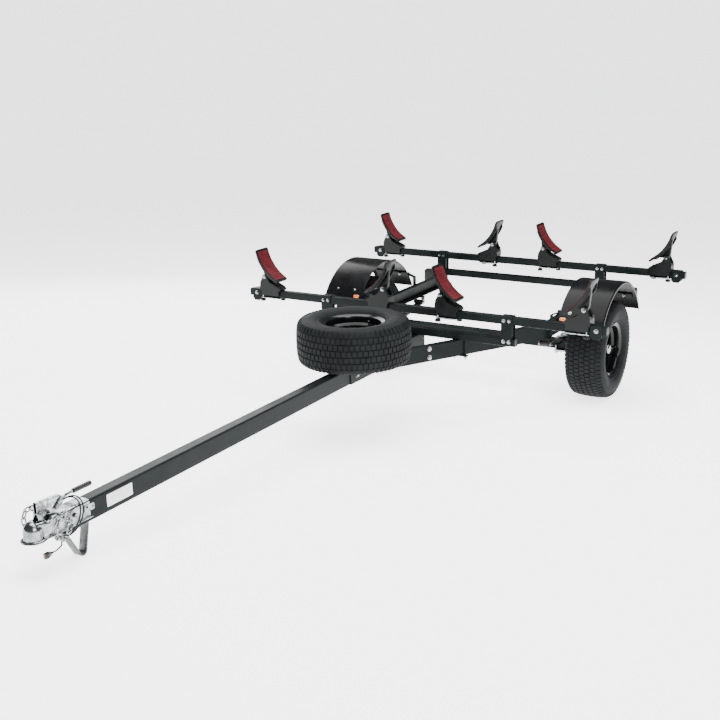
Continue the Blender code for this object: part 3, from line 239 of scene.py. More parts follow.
# %% Plated finishes
def plated(name, dark, light, roughness, spread, cloud_mm, grain_mm, depth):
    """Metal plate with clouds of colour and gloss and a fine rolled grain."""
    material, tree, place = finish_named(name, Metallic=1.0)
    clouds = noise(tree, place, cloud_mm, 4.0, Roughness=0.6)
    coloured(tree, clouds, 0.38, 0.64, dark, light)
    glossed(tree, clouds, 0.35, 0.65, roughness + spread, roughness - spread)
    stretched = add(tree, "Mapping", inputs={"Vector": place, "Scale": (1.0, 0.12, 1.0)}).outputs["Vector"]
    bumped(tree, noise(tree, stretched, grain_mm, 3.0), 0.25, depth)
    return material


# Bright zinc plate on pressed steel: light, slightly blue, with soft clouds.
bright_zinc = plated("bright_zinc", "#6A6E70", "#A2A6A7", 0.22, 0.06, 30.0, 1.2, 0.0001)
# The same plate on small parts that rub each other bright.
rubbed_zinc = plated("rubbed_zinc", "#5E6264", "#AEB1B1", 0.20, 0.07, 14.0, 0.8, 0.0001)
# Zinc on welded chain in random clouds, darkened as a whole as painted shade for the shadows between the
# links.
chain_zinc_painted_shade = plated("chain_zinc_painted_shade", "#3A3E3F", "#B0B3B3", 0.18, 0.06, 9.0, 0.8, 0.0002)
# Dull grey coat on bent flat strap: half metallic, with streaks along it.
dull_strap = plated("dull_strap", "#545556", "#6C6D6E", 0.50, 0.06, 16.0, 1.0, 0.0003)
# Brass of the plug's contacts: warm points against the black.
turned_brass = plated("turned_brass", "#B08B3E", "#D4B368", 0.30, 0.05, 5.0, 0.6, 0.00005)
print("plated finishes", 5)

# %% [markdown]
# ## Rubber, plastics and lenses
# Tyre rubber is dull, with a bloom of paler dust where it curves. Moulded plastic comes out of its
# tool with a fine leather grain of about 1 mm. A lens is clear coloured acrylic with small prisms
# inside, which here are a grid of shallow bumps under a smooth skin.

# %% Soft and clear finishes
def moulded(name, dark, light, roughness, grain_mm, depth, coat=0.0, mirror=0.5):
    """Plastic or rubber with a cellular grain from its mould and a slow change of colour."""
    material, tree, place = finish_named(name, **{
        "IOR": 1.5, "Specular IOR Level": mirror, "Coat Weight": coat})
    slow = noise(tree, place, 45.0, 5.0)
    coloured(tree, slow, 0.35, 0.68, dark, light)
    glossed(tree, slow, 0.3, 0.7, roughness - 0.06, roughness + 0.06)
    cells = add(tree, "TexVoronoi", inputs={"Vector": place, "Scale": grains(grain_mm)})
    bumped(tree, cells.outputs["Distance"], 0.4, depth)
    return material


def prismatic(name, deep, bright, prism_mm):
    """Clear coloured lens with a grid of small prisms behind a smooth skin."""
    material, tree, place = finish_named(name, **{
        "IOR": 1.49, "Roughness": 0.12, "Coat Weight": 1.0, "Coat Roughness": 0.03})
    prisms = add(tree, "TexVoronoi", {"distance": "CHEBYCHEV"},
                 {"Vector": place, "Scale": grains(prism_mm), "Randomness": 0.0}).outputs["Distance"]
    coloured(tree, prisms, 0.15, 0.55, bright, deep)
    bumped(tree, prisms, 0.5, 0.0006)
    return material


# Carbon-filled tyre rubber, vulcanised in a mould: nearly no gloss.
tyre_rubber = moulded("tyre_rubber", "#0D0F10", "#181B1C", 0.72, 1.6, 0.0002, 0.0, 0.12)
# Glass-filled nylon of the hull cradles: black, with a leather grain.
moulded_nylon = moulded("moulded_nylon", "#0A0B0C", "#111314", 0.42, 1.4, 0.00025, 0.0, 0.18)
# Soft vinyl of the grip and caps, dipped, so it is smooth and slightly shiny.
dipped_vinyl = moulded("dipped_vinyl", "#0A0B0B", "#101112", 0.40, 3.0, 0.00008, 0.10, 0.35)
# Extruded sheath of the wiring lead: nearly black, so it reads as one thin dark line.
extruded_sheath = moulded("extruded_sheath", "#050606", "#090A0A", 0.45, 2.5, 0.00004, 0.0, 0.25)
# Dark red rubber pad that grips the hull, with a dull bloom.
red_rubber_pad = moulded("red_rubber_pad", "#431016", "#57171D", 0.66, 1.8, 0.0003, 0.0, 0.15)
# Film of the blank plate on the tongue: the one white patch on the dark frame.
white_film = moulded("white_film", "#DDE0E0", "#E9EBEB", 0.36, 4.0, 0.00003)
# Injection-moulded acrylic of the lamp lenses: deep where a prism is thick, bright at its edges.
red_acrylic = prismatic("red_acrylic", "#7E0C12", "#C9202A", 4.0)
amber_acrylic = prismatic("amber_acrylic", "#B8500A", "#F08A1C", 3.0)
print("soft and clear finishes", 8)

# %% [markdown]
# ## The maker's tools
# Most of the trailer's pieces come from four workshop moves: turn a profile on a lathe, push an
# outline through a die, bend a round bar along a path, and round the edges off. Each is a short
# function around the bmesh operator that does it, so the rest of the script reads like shop notes.

# %% Tools
def started(points, filled=False):
    """A few vertices joined in a loop, or filled as one face."""
    solid = bmesh.new()
    verts = [solid.verts.new(point) for point in points]
    if filled:
        solid.faces.new(verts)
    else:
        for pair in zip(verts, verts[1:] + verts[:1]):
            solid.edges.new(pair)
    return solid


def mended(solid):
    """Close open ends and point every face outwards."""
    bmesh.ops.remove_doubles(solid, verts=solid.verts, dist=1e-6)
    open_edges = [edge for edge in solid.edges if edge.is_boundary]
    if open_edges:
        bmesh.ops.holes_fill(solid, edges=open_edges, sides=0)
    bmesh.ops.recalc_face_normals(solid, faces=solid.faces)
    return solid


def thickened(solid, by):
    """Extrude every face by a vector."""
    grown = bmesh.ops.extrude_face_region(solid, geom=solid.faces[:])
    verts = [item for item in grown["geom"] if isinstance(item, bmesh.types.BMVert)]
    bmesh.ops.translate(solid, verts=verts, vec=by)
    return mended(solid)


def pushed(outline, axis, start, depth):
    """Fill an outline drawn across an axis, and extrude it from a place on that axis to a depth."""
    at = "XYZ".index(axis)
    by = [0.0, 0.0, 0.0]
    by[at] = depth
    return thickened(started([(*pair[:at], start, *pair[at:]) for pair in outline], filled=True), by)


def creases(solid, angle):
    """Edges where two faces meet at more than an angle in degrees."""
    limit = math.radians(angle)
    return [e for e in solid.edges if len(e.link_faces) == 2 and e.calc_face_angle(0.0) > limit]


def rounded_off(solid, edges, width, segments):
    """Round some edges."""
    bmesh.ops.bevel(solid, geom=edges, offset=width, offset_type="OFFSET", segments=segments, profile=0.5,
                    affect="EDGES", clamp_overlap=True, material=-1)
    return solid


def eased(solid, width, segments=2, sharper_than=35.0):
    """Round the edges that are sharper than an angle."""
    return rounded_off(solid, creases(solid, sharper_than), width, segments)


def lathed(profile, steps, about="X"):
    """Turn a closed profile of (radius, distance along the axis) about X or Z."""
    place = {"X": lambda r, a: (a, 0.0, r), "Z": lambda r, a: (r, 0.0, a)}[about]
    solid = started([place(r, a) for r, a in profile])
    axis = (1.0, 0.0, 0.0) if about == "X" else (0.0, 0.0, 1.0)
    bmesh.ops.spin(solid, geom=solid.verts[:] + solid.edges[:], cent=(0.0, 0.0, 0.0), axis=axis,
                   angle=2 * math.pi, steps=steps, use_merge=True)
    bmesh.ops.remove_doubles(solid, verts=solid.verts, dist=1e-6)
    bmesh.ops.delete(solid, geom=[e for e in solid.edges if not e.link_faces], context="EDGES")
    return mended(solid)


def mirrored(profile):
    """The other half of a profile, across the middle."""
    return [(r, -a) for r, a in profile[::-1]]


def copied_round(solid, count):
    """Copies of a solid, evenly spaced round the X axis."""
    bmesh.ops.spin(solid, geom=solid.verts[:] + solid.edges[:] + solid.faces[:], cent=(0.0, 0.0, 0.0),
                   axis=(1.0, 0.0, 0.0), angle=2 * math.pi * (count - 1) / count, steps=count - 1,
                   use_duplicate=True)
    return solid


def round_bar(name, paths, radius, roundness, closed=False):
    """Curve along each path with a round bevel: a bar, a wire or a sheath."""
    curve = bpy.data.curves.new(name, "CURVE")
    curve.dimensions = "3D"
    curve.bevel_depth = radius
    curve.bevel_resolution = roundness
    curve.use_fill_caps = True
    for path in paths:
        spline = curve.splines.new("POLY")
        spline.points.add(len(path) - 1)
        spline.use_cyclic_u = closed
        for point, place in zip(spline.points, path):
            point.co = (*place, 1.0)
    return curve


def wire(paths, radius, closed=False, roundness=3):
    """Mesh of a round bar along each path."""
    curve = round_bar("wire", paths, radius, roundness, closed)
    holder = bpy.data.objects.new("wire", curve)
    mesh = bpy.data.meshes.new_from_object(holder)
    solid = bmesh.new()
    solid.from_mesh(mesh)
    bpy.data.objects.remove(holder)
    bpy.data.curves.remove(curve)
    bpy.data.meshes.remove(mesh)
    return mended(solid)


def skinned(outlines):
    """Bridge a row of closed outlines into one skin and cap its ends."""
    solid = bmesh.new()
    rings = []
    for outline in outlines:
        verts = [solid.verts.new(point) for point in outline]
        rings.append([solid.edges.new(pair) for pair in zip(verts, verts[1:] + verts[:1])])
    for near, far in zip(rings, rings[1:]):
        bmesh.ops.bridge_loops(solid, edges=near + far)
    return mended(solid)


def moved(solid, by=(0.0, 0.0, 0.0), turn=None):
    """Turn a solid about the origin, then shift it."""
    matrix = Matrix.Translation(by) @ (turn.to_4x4() if turn else Matrix.Identity(4))
    bmesh.ops.transform(solid, matrix=matrix, verts=solid.verts)
    return solid


def on_side(solid, side):
    """Mirror what was drawn for the left side when it is for the right."""
    if side < 0:
        bmesh.ops.scale(solid, vec=(-1.0, 1.0, 1.0), verts=solid.verts)
        bmesh.ops.reverse_faces(solid, faces=solid.faces)
    return solid


def gathered(solids):
    """One bmesh that holds several."""
    whole = bmesh.new()
    for solid in solids:
        mesh = bpy.data.meshes.new("gathered")
        solid.to_mesh(mesh)
        solid.free()
        whole.from_mesh(mesh)
        bpy.data.meshes.remove(mesh)
    return whole


def piece(name, solid, material, body, stands_for=(), smooth=32.0, bends=()):
    """Park a solid drawn level, and make it a named piece that rides on a body, or stays unparented when
    bend points are given.
    """
    bmesh.ops.transform(solid, matrix=PARKED, verts=solid.verts)
    mesh = bpy.data.meshes.new(name)
    solid.to_mesh(mesh)
    solid.free()
    mesh.shade_smooth()
    mesh.set_sharp_from_angle(angle=math.radians(smooth))
    mesh.materials.append(material)
    made = placed(name, mesh)
    if bends:
        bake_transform(made)
    else:
        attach(made, body)
    if stands_for:
        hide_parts(*stands_for)
    print(name, len(mesh.polygons), "faces")
    return made


def arc(centre, radius, first, last, steps):
    """Points of a circle's arc, angles in degrees."""
    turns = [math.radians(first + (last - first) * i / steps) for i in range(steps + 1)]
    return [(centre[0] + radius * math.cos(t), centre[1] + radius * math.sin(t)) for t in turns]


def rounded(width, height, radius, centre=(0.0, 0.0)):
    """Outline of a rectangle with round corners."""
    points = []
    for sx, sy, first in ((1, 1, 0), (-1, 1, 90), (-1, -1, 180), (1, -1, 270)):
        corner = (centre[0] + sx * (width / 2 - radius), centre[1] + sy * (height / 2 - radius))
        points += arc(corner, radius, first, first + 90, 4)
    return points


def smooth_route(points, steps):
    """Points read from a smooth curve through the given ones."""
    found = []
    padded = [2 * points[0] - points[1]] + points + [2 * points[-1] - points[-2]]
    for before, start, end, after in zip(padded, padded[1:], padded[2:], padded[3:]):
        for i in range(steps):
            t = i / steps
            bend = 2 * before - 5 * start + 4 * end - after
            twist = 3 * start - before - 3 * end + after
            found.append(0.5 * (2 * start + (end - before) * t + bend * t ** 2 + twist * t ** 3))
    return found + [points[-1]]


sample = pushed(rounded(0.02, 0.01, 0.002), "Z", 0.0, 0.005)
print("a rounded block has", len(sample.faces), "faces")
sample.free()

# %% [markdown]
# ## The wiring lead
# The lamps' lead comes out of the tongue's open end, is wound twice round the coupler's neck to keep
# it off the road, and ends in a flat plug that hangs at the left. The route is the one that the
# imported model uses, with a smooth curve read between its points, so it keeps its real length of a
# little over a metre. It stays a curve with a round bevel, which is how a sheath is extruded.

# %% Route of the lead
LEAD_RADIUS = 0.0024
PLUG_LENGTH = 0.026
PLUG_CENTRE = (0.047, 0.006, 0.3395)


def lead_route():
    """Out of the tongue, twice round the neck, and down to the plug."""
    exit_points = [(0.0, 0.124, 0.3672), (0.0, 0.112, 0.3670), (-0.006, 0.101, 0.3590),
                   (-0.017, 0.092, 0.3520)]
    start = smooth_route([Vector(p) for p in exit_points], 3)
    turns, per_turn = 2, 24
    loops = []
    for i in range(turns * per_turn + 3):
        t = i / (turns * per_turn)
        angle = math.radians(-118) - 2 * math.pi * turns * t
        rise = 0.0550 * math.sin(angle)
        reach = 0.0555 + 0.004 * t
        loops.append(Vector((reach * math.cos(angle), 0.128 + 0.022 * t + 0.75 * rise, 0.4030 + rise)))
    plug_x, plug_y, plug_z = PLUG_CENTRE
    plug_rear = plug_y + PLUG_LENGTH / 2
    hanging = [(0.020, 0.090, 0.3410), (0.038, 0.062, 0.3370), (0.046, 0.038, 0.3385),
               (plug_x, plug_rear + 0.0075, plug_z), (plug_x, plug_rear + 0.0005, plug_z)]
    end = smooth_route([loops[-1]] + [Vector(p) for p in hanging], 3)
    return start + loops + end[1:]


route = [PARKED @ point for point in smooth_route(lead_route(), 3)]

# %% Lead, plug and boot
lead_curve = round_bar("lead", [route], LEAD_RADIUS, 4)
lead_curve.materials.append(extruded_sheath)
lead = placed("lead", lead_curve)
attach(lead, "chassis")
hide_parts("wiring_lead")

plug_x, plug_y, plug_z = PLUG_CENTRE
plug_front = plug_y - PLUG_LENGTH / 2
PLUG_STEPS = ((0.0, 0.013, 0.019, 0.0034), (0.015, 0.013, 0.019, 0.0034), (0.018, 0.0108, 0.0165, 0.0030),
              (0.0255, 0.0095, 0.0120, 0.0030))
plug_rings = [[(x, plug_front + away, z) for x, z in rounded(wide, high, corner, (plug_x, plug_z))]
              for away, wide, high, corner in PLUG_STEPS]
rib = rounded(0.0138, 0.0198, 0.0036, (plug_x, plug_z))
ribs = [pushed(rib, "Y", plug_front + 0.004 + 0.0032 * i, 0.0014) for i in range(3)]
plug = piece("plug", gathered([eased(skinned(plug_rings), 0.0005)] + ribs), dipped_vinyl, "chassis",
             ["wiring_connector"])
contacts = [wire([[(plug_x, plug_front - 0.0004, plug_z + 0.00475 * i),
                   (plug_x, plug_front + 0.006, plug_z + 0.00475 * i)]], 0.0016) for i in (-1, 0, 1)]
contacts = piece("plug_contacts", gathered(contacts), turned_brass, "chassis")
boot_rings = [(0.0052 - 0.0024 * t + (0.0004 if i % 2 else -0.0002), 0.0095 * t)
              for i, t in ((i, i / 8) for i in range(9))]
boot = lathed([(0.0, 0.0)] + boot_rings + [(0.0, 0.0095)], 24)
boot = moved(boot, (plug_x, plug_front + 0.0250, plug_z), Matrix.Rotation(math.radians(90), 3, "Z"))
boot = piece("plug_boot", boot, dipped_vinyl, "chassis")

# %% [markdown]
# ## Bolts and nuts
# A light trailer is bolted together, and every bolt shows as a bright hexagon. One head is a six-sided
# circle pushed up and eased, on a thin round washer. One function sets it at a place, facing a way.
# Another sets a head and a nut on the two faces of what they clamp.

# %% One bolt head
def bolt(place, towards, across=0.013, tall=0.0052, stud=0.0, washer=True):
    """Hexagon on its washer, with a stud's end through it when it is a nut."""
    parts = []
    head = bmesh.new()
    bmesh.ops.create_circle(head, cap_ends=True, segments=6, radius=across / math.sqrt(3))
    head = eased(thickened(head, (0.0, 0.0, tall)), 0.0007)
    parts.append(moved(head, (0.0, 0.0, 0.0012 if washer else 0.0)))
    if washer:
        rim_radius = across * 0.76
        ring = [(0.0, 0.0), (rim_radius, 0.0), (rim_radius, 0.0012), (0.0, 0.0012)]
        parts.append(lathed(ring, 24, "Z"))
    if stud:
        shank, tip = across * 0.30, tall + stud
        thread = [(0.0, 0.0), (shank, 0.0), (shank, tip), (shank * 0.8, tip + 0.0008), (0.0, tip + 0.0008)]
        parts.append(lathed(thread, 14, "Z"))
    turn = Vector((0.0, 0.0, 1.0)).rotation_difference(Vector(towards)).to_matrix()
    return moved(gathered(parts), place, turn)


def through(middle, towards, reach, head, nut):
    """A bolt right through something: its head on one face and its nut on the other."""
    middle, out = Vector(middle), Vector(towards)
    return [bolt(middle + out * reach, out, *head), bolt(middle - out * reach, -out, *nut)]


def hardware(name, solids):
    """Small zinc-plated parts that stay with the frame, as one piece."""
    piece(name, gathered(solids), rubbed_zinc, "chassis")


sample = bolt((0.0, 0.0, 0.0), (1.0, 0.0, 0.0))
print("a bolt head has", len(sample.faces), "faces")
sample.free()

# %% [markdown]
# ## Tyres
# A trailer tyre of this size has a flat crown with rows of square blocks and open lugs on its
# shoulders. The carcass is a lathe profile. One block per row is pushed out of its outline, eased,
# and copied round the wheel, every other row half a pitch later. That gives a true tread that casts
# shadows, which a bump map would lose at the tyre's edge, for only a few faces a block.

# %% Tyre
TYRE_RADIUS = 0.260
TREAD_PITCHES = 68
TREAD_ROWS = ((-0.056, 0.0), (-0.028, 0.5), (0.0, 0.0), (0.028, 0.5), (0.056, 0.0))
BLOCK_HALF_WIDTH = 0.0118


def crown(x):
    """Radius of the tread's top at a distance from the tyre's middle, so that its corners still fit."""
    return TYRE_RADIUS - 0.0002 - 0.0055 * (abs(x) / 0.0775) ** 2.4


def block(outline, length):
    """One tread block, centred on the wheel's top, from its outline across the tread."""
    return eased(pushed(outline, "Y", -length / 2, length), 0.0009, 1)


def tyre():
    """Carcass, rows of blocks and shoulder lugs, with the axle along X."""
    wall = [(0.1420, 0.0745), (0.1470, 0.0835), (0.1560, 0.0915), (0.1600, 0.0912), (0.1640, 0.0950),
            (0.1800, 0.0990), (0.1980, 0.1012), (0.2100, 0.1013), (0.2130, 0.1000), (0.2250, 0.0982),
            (0.2370, 0.0925), (0.2460, 0.0850), (0.2505, 0.0775), (0.2535, 0.0500), (0.2540, 0.0200)]
    inside = [(0.2420, 0.0700), (0.2060, 0.0880), (0.1700, 0.0840), (0.1290, 0.0700)]
    parts = [lathed(wall + mirrored(wall) + mirrored(inside) + inside, 112)]
    pitch = 2 * math.pi / TREAD_PITCHES
    for middle, late in TREAD_ROWS:
        across = [middle - BLOCK_HALF_WIDTH, middle, middle + BLOCK_HALF_WIDTH]
        outline = [(across[0], 0.2515)] + [(x, crown(x)) for x in across] + [(across[2], 0.2515)]
        row = copied_round(block(outline, 0.0195), TREAD_PITCHES)
        parts.append(moved(row, turn=Matrix.Rotation(pitch * late, 3, "X")))
    for side in (1, -1):
        outline = [(0.0715, 0.2490), (0.0715, crown(0.0715)), (0.0800, 0.2530), (0.0890, 0.2480),
                   (0.0965, 0.2385), (0.0930, 0.2350), (0.0800, 0.2460)]
        lug = on_side(block(outline, 0.0150), side)
        row = copied_round(lug, TREAD_PITCHES)
        parts.append(moved(row, turn=Matrix.Rotation(pitch * 0.5, 3, "X")))
    return gathered(parts)


def on_wheels(name, draw, material, stands_for=(), spare=True):
    """A piece for each road wheel, drawn for the left one, and one for the spare that lies flat."""
    for label, side in SIDES:
        at_wheel = moved(on_side(draw(), side), (side * WHEEL_X, *AXLE))
        piece(f"{name}_{label}", at_wheel, material, f"wheel_{label}",
              [f"{part}_{label}" for part in stands_for])
    if spare:
        piece(f"{name}_spare", moved(draw(), SPARE, FLAT), material, "chassis",
              [f"spare_{part}" for part in stands_for])


SPARE = (0.0, 1.9205, 0.5505)
FLAT = Matrix.Rotation(-math.pi / 2, 3, "Y")
on_wheels("tread_tyre", tyre, tyre_rubber, ["tyre"])

# %% [markdown]
# ## Rims and hubs
# The rim is a rolled barrel with a stamped disc welded inside it, both enamelled gloss black. From
# the side the eye reads three rings: the flange, the bead seat and the dished disc. Each is a closed
# lathe profile. The hub is turned zinc-plated steel with a pressed grease cap, and five cone nuts.

# %% Rim
def rim():
    """Barrel and dished disc."""
    barrel = [(0.1415, 0.0812), (0.1440, 0.0790), (0.1440, 0.0760), (0.1400, 0.0742), (0.1290, 0.0722),
              (0.1262, 0.0690), (0.1255, 0.0450), (0.1210, 0.0405), (0.1090, 0.0350), (0.1075, 0.0320)]
    bore = [(0.1380, -0.0790), (0.1255, -0.0745), (0.1230, -0.0690), (0.1225, -0.0460), (0.1180, -0.0420),
            (0.1060, -0.0370), (0.1045, -0.0320)]
    shell = barrel + mirrored(barrel) + bore + mirrored(bore)
    disc = [(0.1050, -0.0115), (0.1020, -0.0095), (0.0960, 0.0020), (0.0900, 0.0072), (0.0820, 0.0088),
            (0.0760, 0.0066), (0.0680, 0.0064), (0.0380, 0.0064), (0.0370, 0.0075), (0.0370, 0.0098),
            (0.0380, 0.0105), (0.0680, 0.0105), (0.0760, 0.0108), (0.0830, 0.0130), (0.0920, 0.0112),
            (0.0985, 0.0062), (0.1040, -0.0040), (0.1050, -0.0060)]
    return gathered([lathed(shell, 80), lathed(disc, 80)])


on_wheels("pressed_rim", rim, gloss_wheel_enamel, ["rim"])

# %% Hub, grease cap and nuts
BOLT_CIRCLE = 0.0572


def hub():
    """Turned hub, grease cap and five nuts on their studs."""
    turned = [(0.0195, -0.0600), (0.0345, -0.0600), (0.0360, -0.0585), (0.0360, -0.0080), (0.0400, -0.0050),
              (0.0665, -0.0045), (0.0680, -0.0030), (0.0680, 0.0045), (0.0665, 0.0060), (0.0350, 0.0062),
              (0.0332, 0.0085), (0.0300, 0.0330), (0.0150, 0.0330), (0.0150, -0.0335), (0.0195, -0.0335)]
    cap = [(0.0, 0.0340), (0.0280, 0.0340), (0.0292, 0.0350), (0.0292, 0.0385), (0.0276, 0.0395),
           (0.0272, 0.0540), (0.0262, 0.0585), (0.0232, 0.0625), (0.0175, 0.0648), (0.0090, 0.0657),
           (0.0, 0.0660)]
    parts = [lathed(turned, 56), lathed(cap, 56)]
    for i in range(5):
        angle = math.radians(90 + 72 * i)
        place = (0.0, BOLT_CIRCLE * math.cos(angle), BOLT_CIRCLE * math.sin(angle))
        cone = lathed([(0.0, 0.0105), (0.0072, 0.0105), (0.0100, 0.0140), (0.0, 0.0140)], 24)
        nut = bolt((0.0140, 0.0, 0.0), (1.0, 0.0, 0.0), 0.0185, 0.0115, washer=False)
        thread = [(0.0, 0.0020), (0.0058, 0.0020), (0.0058, 0.0280), (0.0046, 0.0290), (0.0, 0.0290)]
        parts.append(moved(gathered([cone, nut, lathed(thread, 16)]), place))
    return gathered(parts)


on_wheels("turned_hub", hub, bright_zinc, ["hub"], spare=False)

# %% Valve stems
VALVE = [(0.0, 0.0), (0.0062, 0.0), (0.0062, 0.0030), (0.0046, 0.0060), (0.0040, 0.0200), (0.0044, 0.0210),
         (0.0044, 0.0290), (0.0034, 0.0300), (0.0, 0.0300)]


def valve():
    """Stem that leans out of the rim's disc."""
    return moved(lathed(VALVE, 20), (0.0315, 0.1130, -0.0160), Matrix.Rotation(math.radians(-12), 3, "Z"))


on_wheels("valve_stem", valve, dipped_vinyl)

# %% [markdown]
# ## Fenders
# Each fender is one sheet rolled to an arch, with its outer edge turned down into a lip that shows as
# a bright line. Its section is drawn once, with a round fold, and spun through the arch's angle round
# the axle's line. The open ends are then filled, because real sheet has a thickness there too.

# %% Rolled arches
FENDER_CENTRE = (AXLE[0], 0.272)
FENDER_RADIUS = 0.350
FENDER_SHEET = 0.003
FENDER_FIRST = 24.0
FENDER_LAST = 156.0


def rolled_arch():
    """Sheet with a folded outer lip, spun round the axle's line."""
    x0, x1 = WHEEL_X - 0.118, WHEEL_X + 0.118
    fold = arc((x1 - 0.008, -0.008), 0.008, 90, 0, 6)
    inner_fold = arc((x1 - 0.008, -0.008), 0.005, 0, 90, 6)
    outline = [(x0, -FENDER_SHEET), (x0, 0.0)] + fold + [(x1, -0.0165), (x1 - FENDER_SHEET, -0.0165)]
    outline += inner_fold
    first = math.radians(FENDER_FIRST)
    points = [(x, (FENDER_RADIUS + r) * math.cos(first), (FENDER_RADIUS + r) * math.sin(first))
              for x, r in outline]
    solid = started(points)
    bmesh.ops.spin(solid, geom=solid.verts[:] + solid.edges[:], cent=(0.0, 0.0, 0.0), axis=(1.0, 0.0, 0.0),
                   angle=math.radians(FENDER_LAST - FENDER_FIRST), steps=56, use_merge=False)
    return moved(mended(solid), (0.0, *FENDER_CENTRE))


for label, side in SIDES:
    piece(f"rolled_fender_{label}", on_side(rolled_arch(), side), gloss_sheet_enamel, "chassis",
          [f"fender_{label}"], 40.0)

# %% Amber marker lamps on the fenders
MARKER_ANGLE = 146.0


def on_fender(x, angle, lift):
    """A place on the arch's outer face, and the way out of it."""
    t = math.radians(angle)
    reach = FENDER_RADIUS + lift
    out = Vector((0.0, math.cos(t), math.sin(t)))
    return Vector((x, FENDER_CENTRE[0] + reach * out.y, FENDER_CENTRE[1] + reach * out.z)), out


for label, side in SIDES:
    place, out = on_fender(0.606, MARKER_ANGLE, -0.0012)
    turn = Matrix.Rotation(math.radians(MARKER_ANGLE - 90), 3, "X")
    outline = rounded(0.038, 0.022, 0.0085)
    foot = eased(pushed(outline, "Z", 0.0, 0.005), 0.001)
    glass = eased(pushed([(0.86 * x, 0.80 * y) for x, y in outline], "Z", 0.004, 0.0085), 0.0034, 4)
    piece(f"marker_foot_{label}", on_side(moved(foot, place, turn), side), dipped_vinyl, "chassis")
    piece(f"marker_lens_{label}", on_side(moved(glass, place, turn), side), amber_acrylic, "chassis")

# %% [markdown]
# ## Tail lamps
# Each lamp is a box of black plastic with a red lens pressed into its face. The lens stands proud,
# with round edges. Two outlines pushed one after the other, with their edges eased, make a box and a
# lens that catch the light as moulded ones do.

# %% Tail lamps
LAMP_MIDDLE = (0.6093, TONGUE_MIDDLE)
LAMP_FRONT = 3.923
for label, side in SIDES:
    shell = pushed(rounded(0.150, 0.080, 0.012, LAMP_MIDDLE), "Y", LAMP_FRONT, 0.038)
    arm = pushed([(0.5303, 0.379), (0.5603, 0.379), (0.5603, 0.419), (0.5303, 0.419)], "Y",
                 LAMP_FRONT - 0.025, 0.030)
    piece(f"lamp_housing_{label}", on_side(gathered([eased(shell, 0.004, 3), eased(arm, 0.001)]), side),
          moulded_nylon, "chassis", [f"tail_light_{label}"])
    lens = pushed(rounded(0.140, 0.070, 0.010, LAMP_MIDDLE), "Y", LAMP_FRONT + 0.035, 0.0145)
    piece(f"lamp_lens_{label}", on_side(eased(lens, 0.0040, 4), side), red_acrylic, "chassis")

# %% [markdown]
# ## Ball coupler
# The coupler is pressed from thick sheet: a dome over the tow ball with a flared rim, a neck, and a
# channel that wraps the tongue. The dome is lathed. The neck is a skin bridged between sections that
# widen smoothly from the dome to the tube, and a Boolean clears the ball's room out of it.

# %% Coupler pressing
BALL_Z = 0.412
LIP_Z = 0.3815
WALL = 0.003
LATCH_PIVOT = (0.026, 0.4585)
CLAMP_PIVOT = (0.084, 0.4175)
NECK = ((-0.004, 0.0255, 0.4420), (0.022, 0.0262, 0.4385), (0.042, 0.0270, 0.4320), (0.066, 0.0285, 0.4425),
        (0.108, 0.0287, 0.4403), (0.215, 0.0287, 0.4403))


def carved(solid, tools):
    """Cut tools out of a solid with exact Booleans."""
    made = []
    for part in [solid] + tools:
        mesh = bpy.data.meshes.new("carving")
        part.to_mesh(mesh)
        part.free()
        made.append(placed("carving", mesh))
    for tool in made[1:]:
        step = made[0].modifiers.new("carve", "BOOLEAN")
        step.operation, step.solver, step.object = "DIFFERENCE", "EXACT", tool
    shown = made[0].evaluated_get(bpy.context.evaluated_depsgraph_get())
    result = bmesh.new()
    result.from_mesh(shown.to_mesh())
    for holder in made:
        mesh = holder.data
        bpy.data.objects.remove(holder)
        bpy.data.meshes.remove(mesh)
    return result


def neck_section(y, half, top):
    """Outline of the channel across the neck: its flanges, sides, top and inside."""
    edge, corner, shoulder = half + 0.011, 0.009, LIP_Z + WALL
    side = [(edge - 0.001, LIP_Z), (edge, LIP_Z + 0.001), (edge, shoulder - 0.001),
            (edge - 0.001, shoulder), (half + 0.004, shoulder), (half + 0.001, shoulder + 0.001),
            (half, shoulder + 0.004)]
    right_side = side + arc((half - corner, top - corner), corner, 0, 90, 6)
    left_side = [(-x, z) for x, z in right_side[::-1]]
    arch = arc((half - WALL - 0.0055, top - WALL - 0.0055), 0.0055, 0, 90, 4)
    under = [(-half + WALL - 0.0005, LIP_Z)] + [(-x, z) for x, z in arch] + arch[::-1]
    under += [(half - WALL + 0.0005, LIP_Z)]
    return [(x, y, z) for x, z in right_side + left_side + under]


def neck_stations():
    """Stations along the neck, closer where it widens."""
    found = []
    for (y0, h0, t0), (y1, h1, t1) in zip(NECK, NECK[1:]):
        for i in range(6):
            t = i / 6
            ease = t * t * (3 - 2 * t)
            found.append((y0 + (y1 - y0) * t, h0 + (h1 - h0) * ease, t0 + (t1 - t0) * ease))
    return found + [NECK[-1]]


neck = skinned([neck_section(*station) for station in neck_stations()])
dome_profile = [(0.0, BALL_Z + 0.0315)] + arc((0.0, BALL_Z), 0.0315, 90, 0, 14)[1:]
dome_profile += [(0.0315, LIP_Z + 0.0085), (0.0322, LIP_Z + 0.0060), (0.0340, LIP_Z + 0.0040),
                 (0.0365, LIP_Z + WALL), (0.0408, LIP_Z + WALL), (0.0417, LIP_Z + 0.0020),
                 (0.0417, LIP_Z + 0.0010), (0.0408, LIP_Z), (0.0, LIP_Z)]
dome = lathed(dome_profile, 72, "Z")
ball_room = [(0.0, BALL_Z + 0.0258)] + arc((0.0, BALL_Z), 0.0258, 90, 0, 12)[1:]
ball_room += [(0.0258, LIP_Z - 0.010), (0.0, LIP_Z - 0.010)]


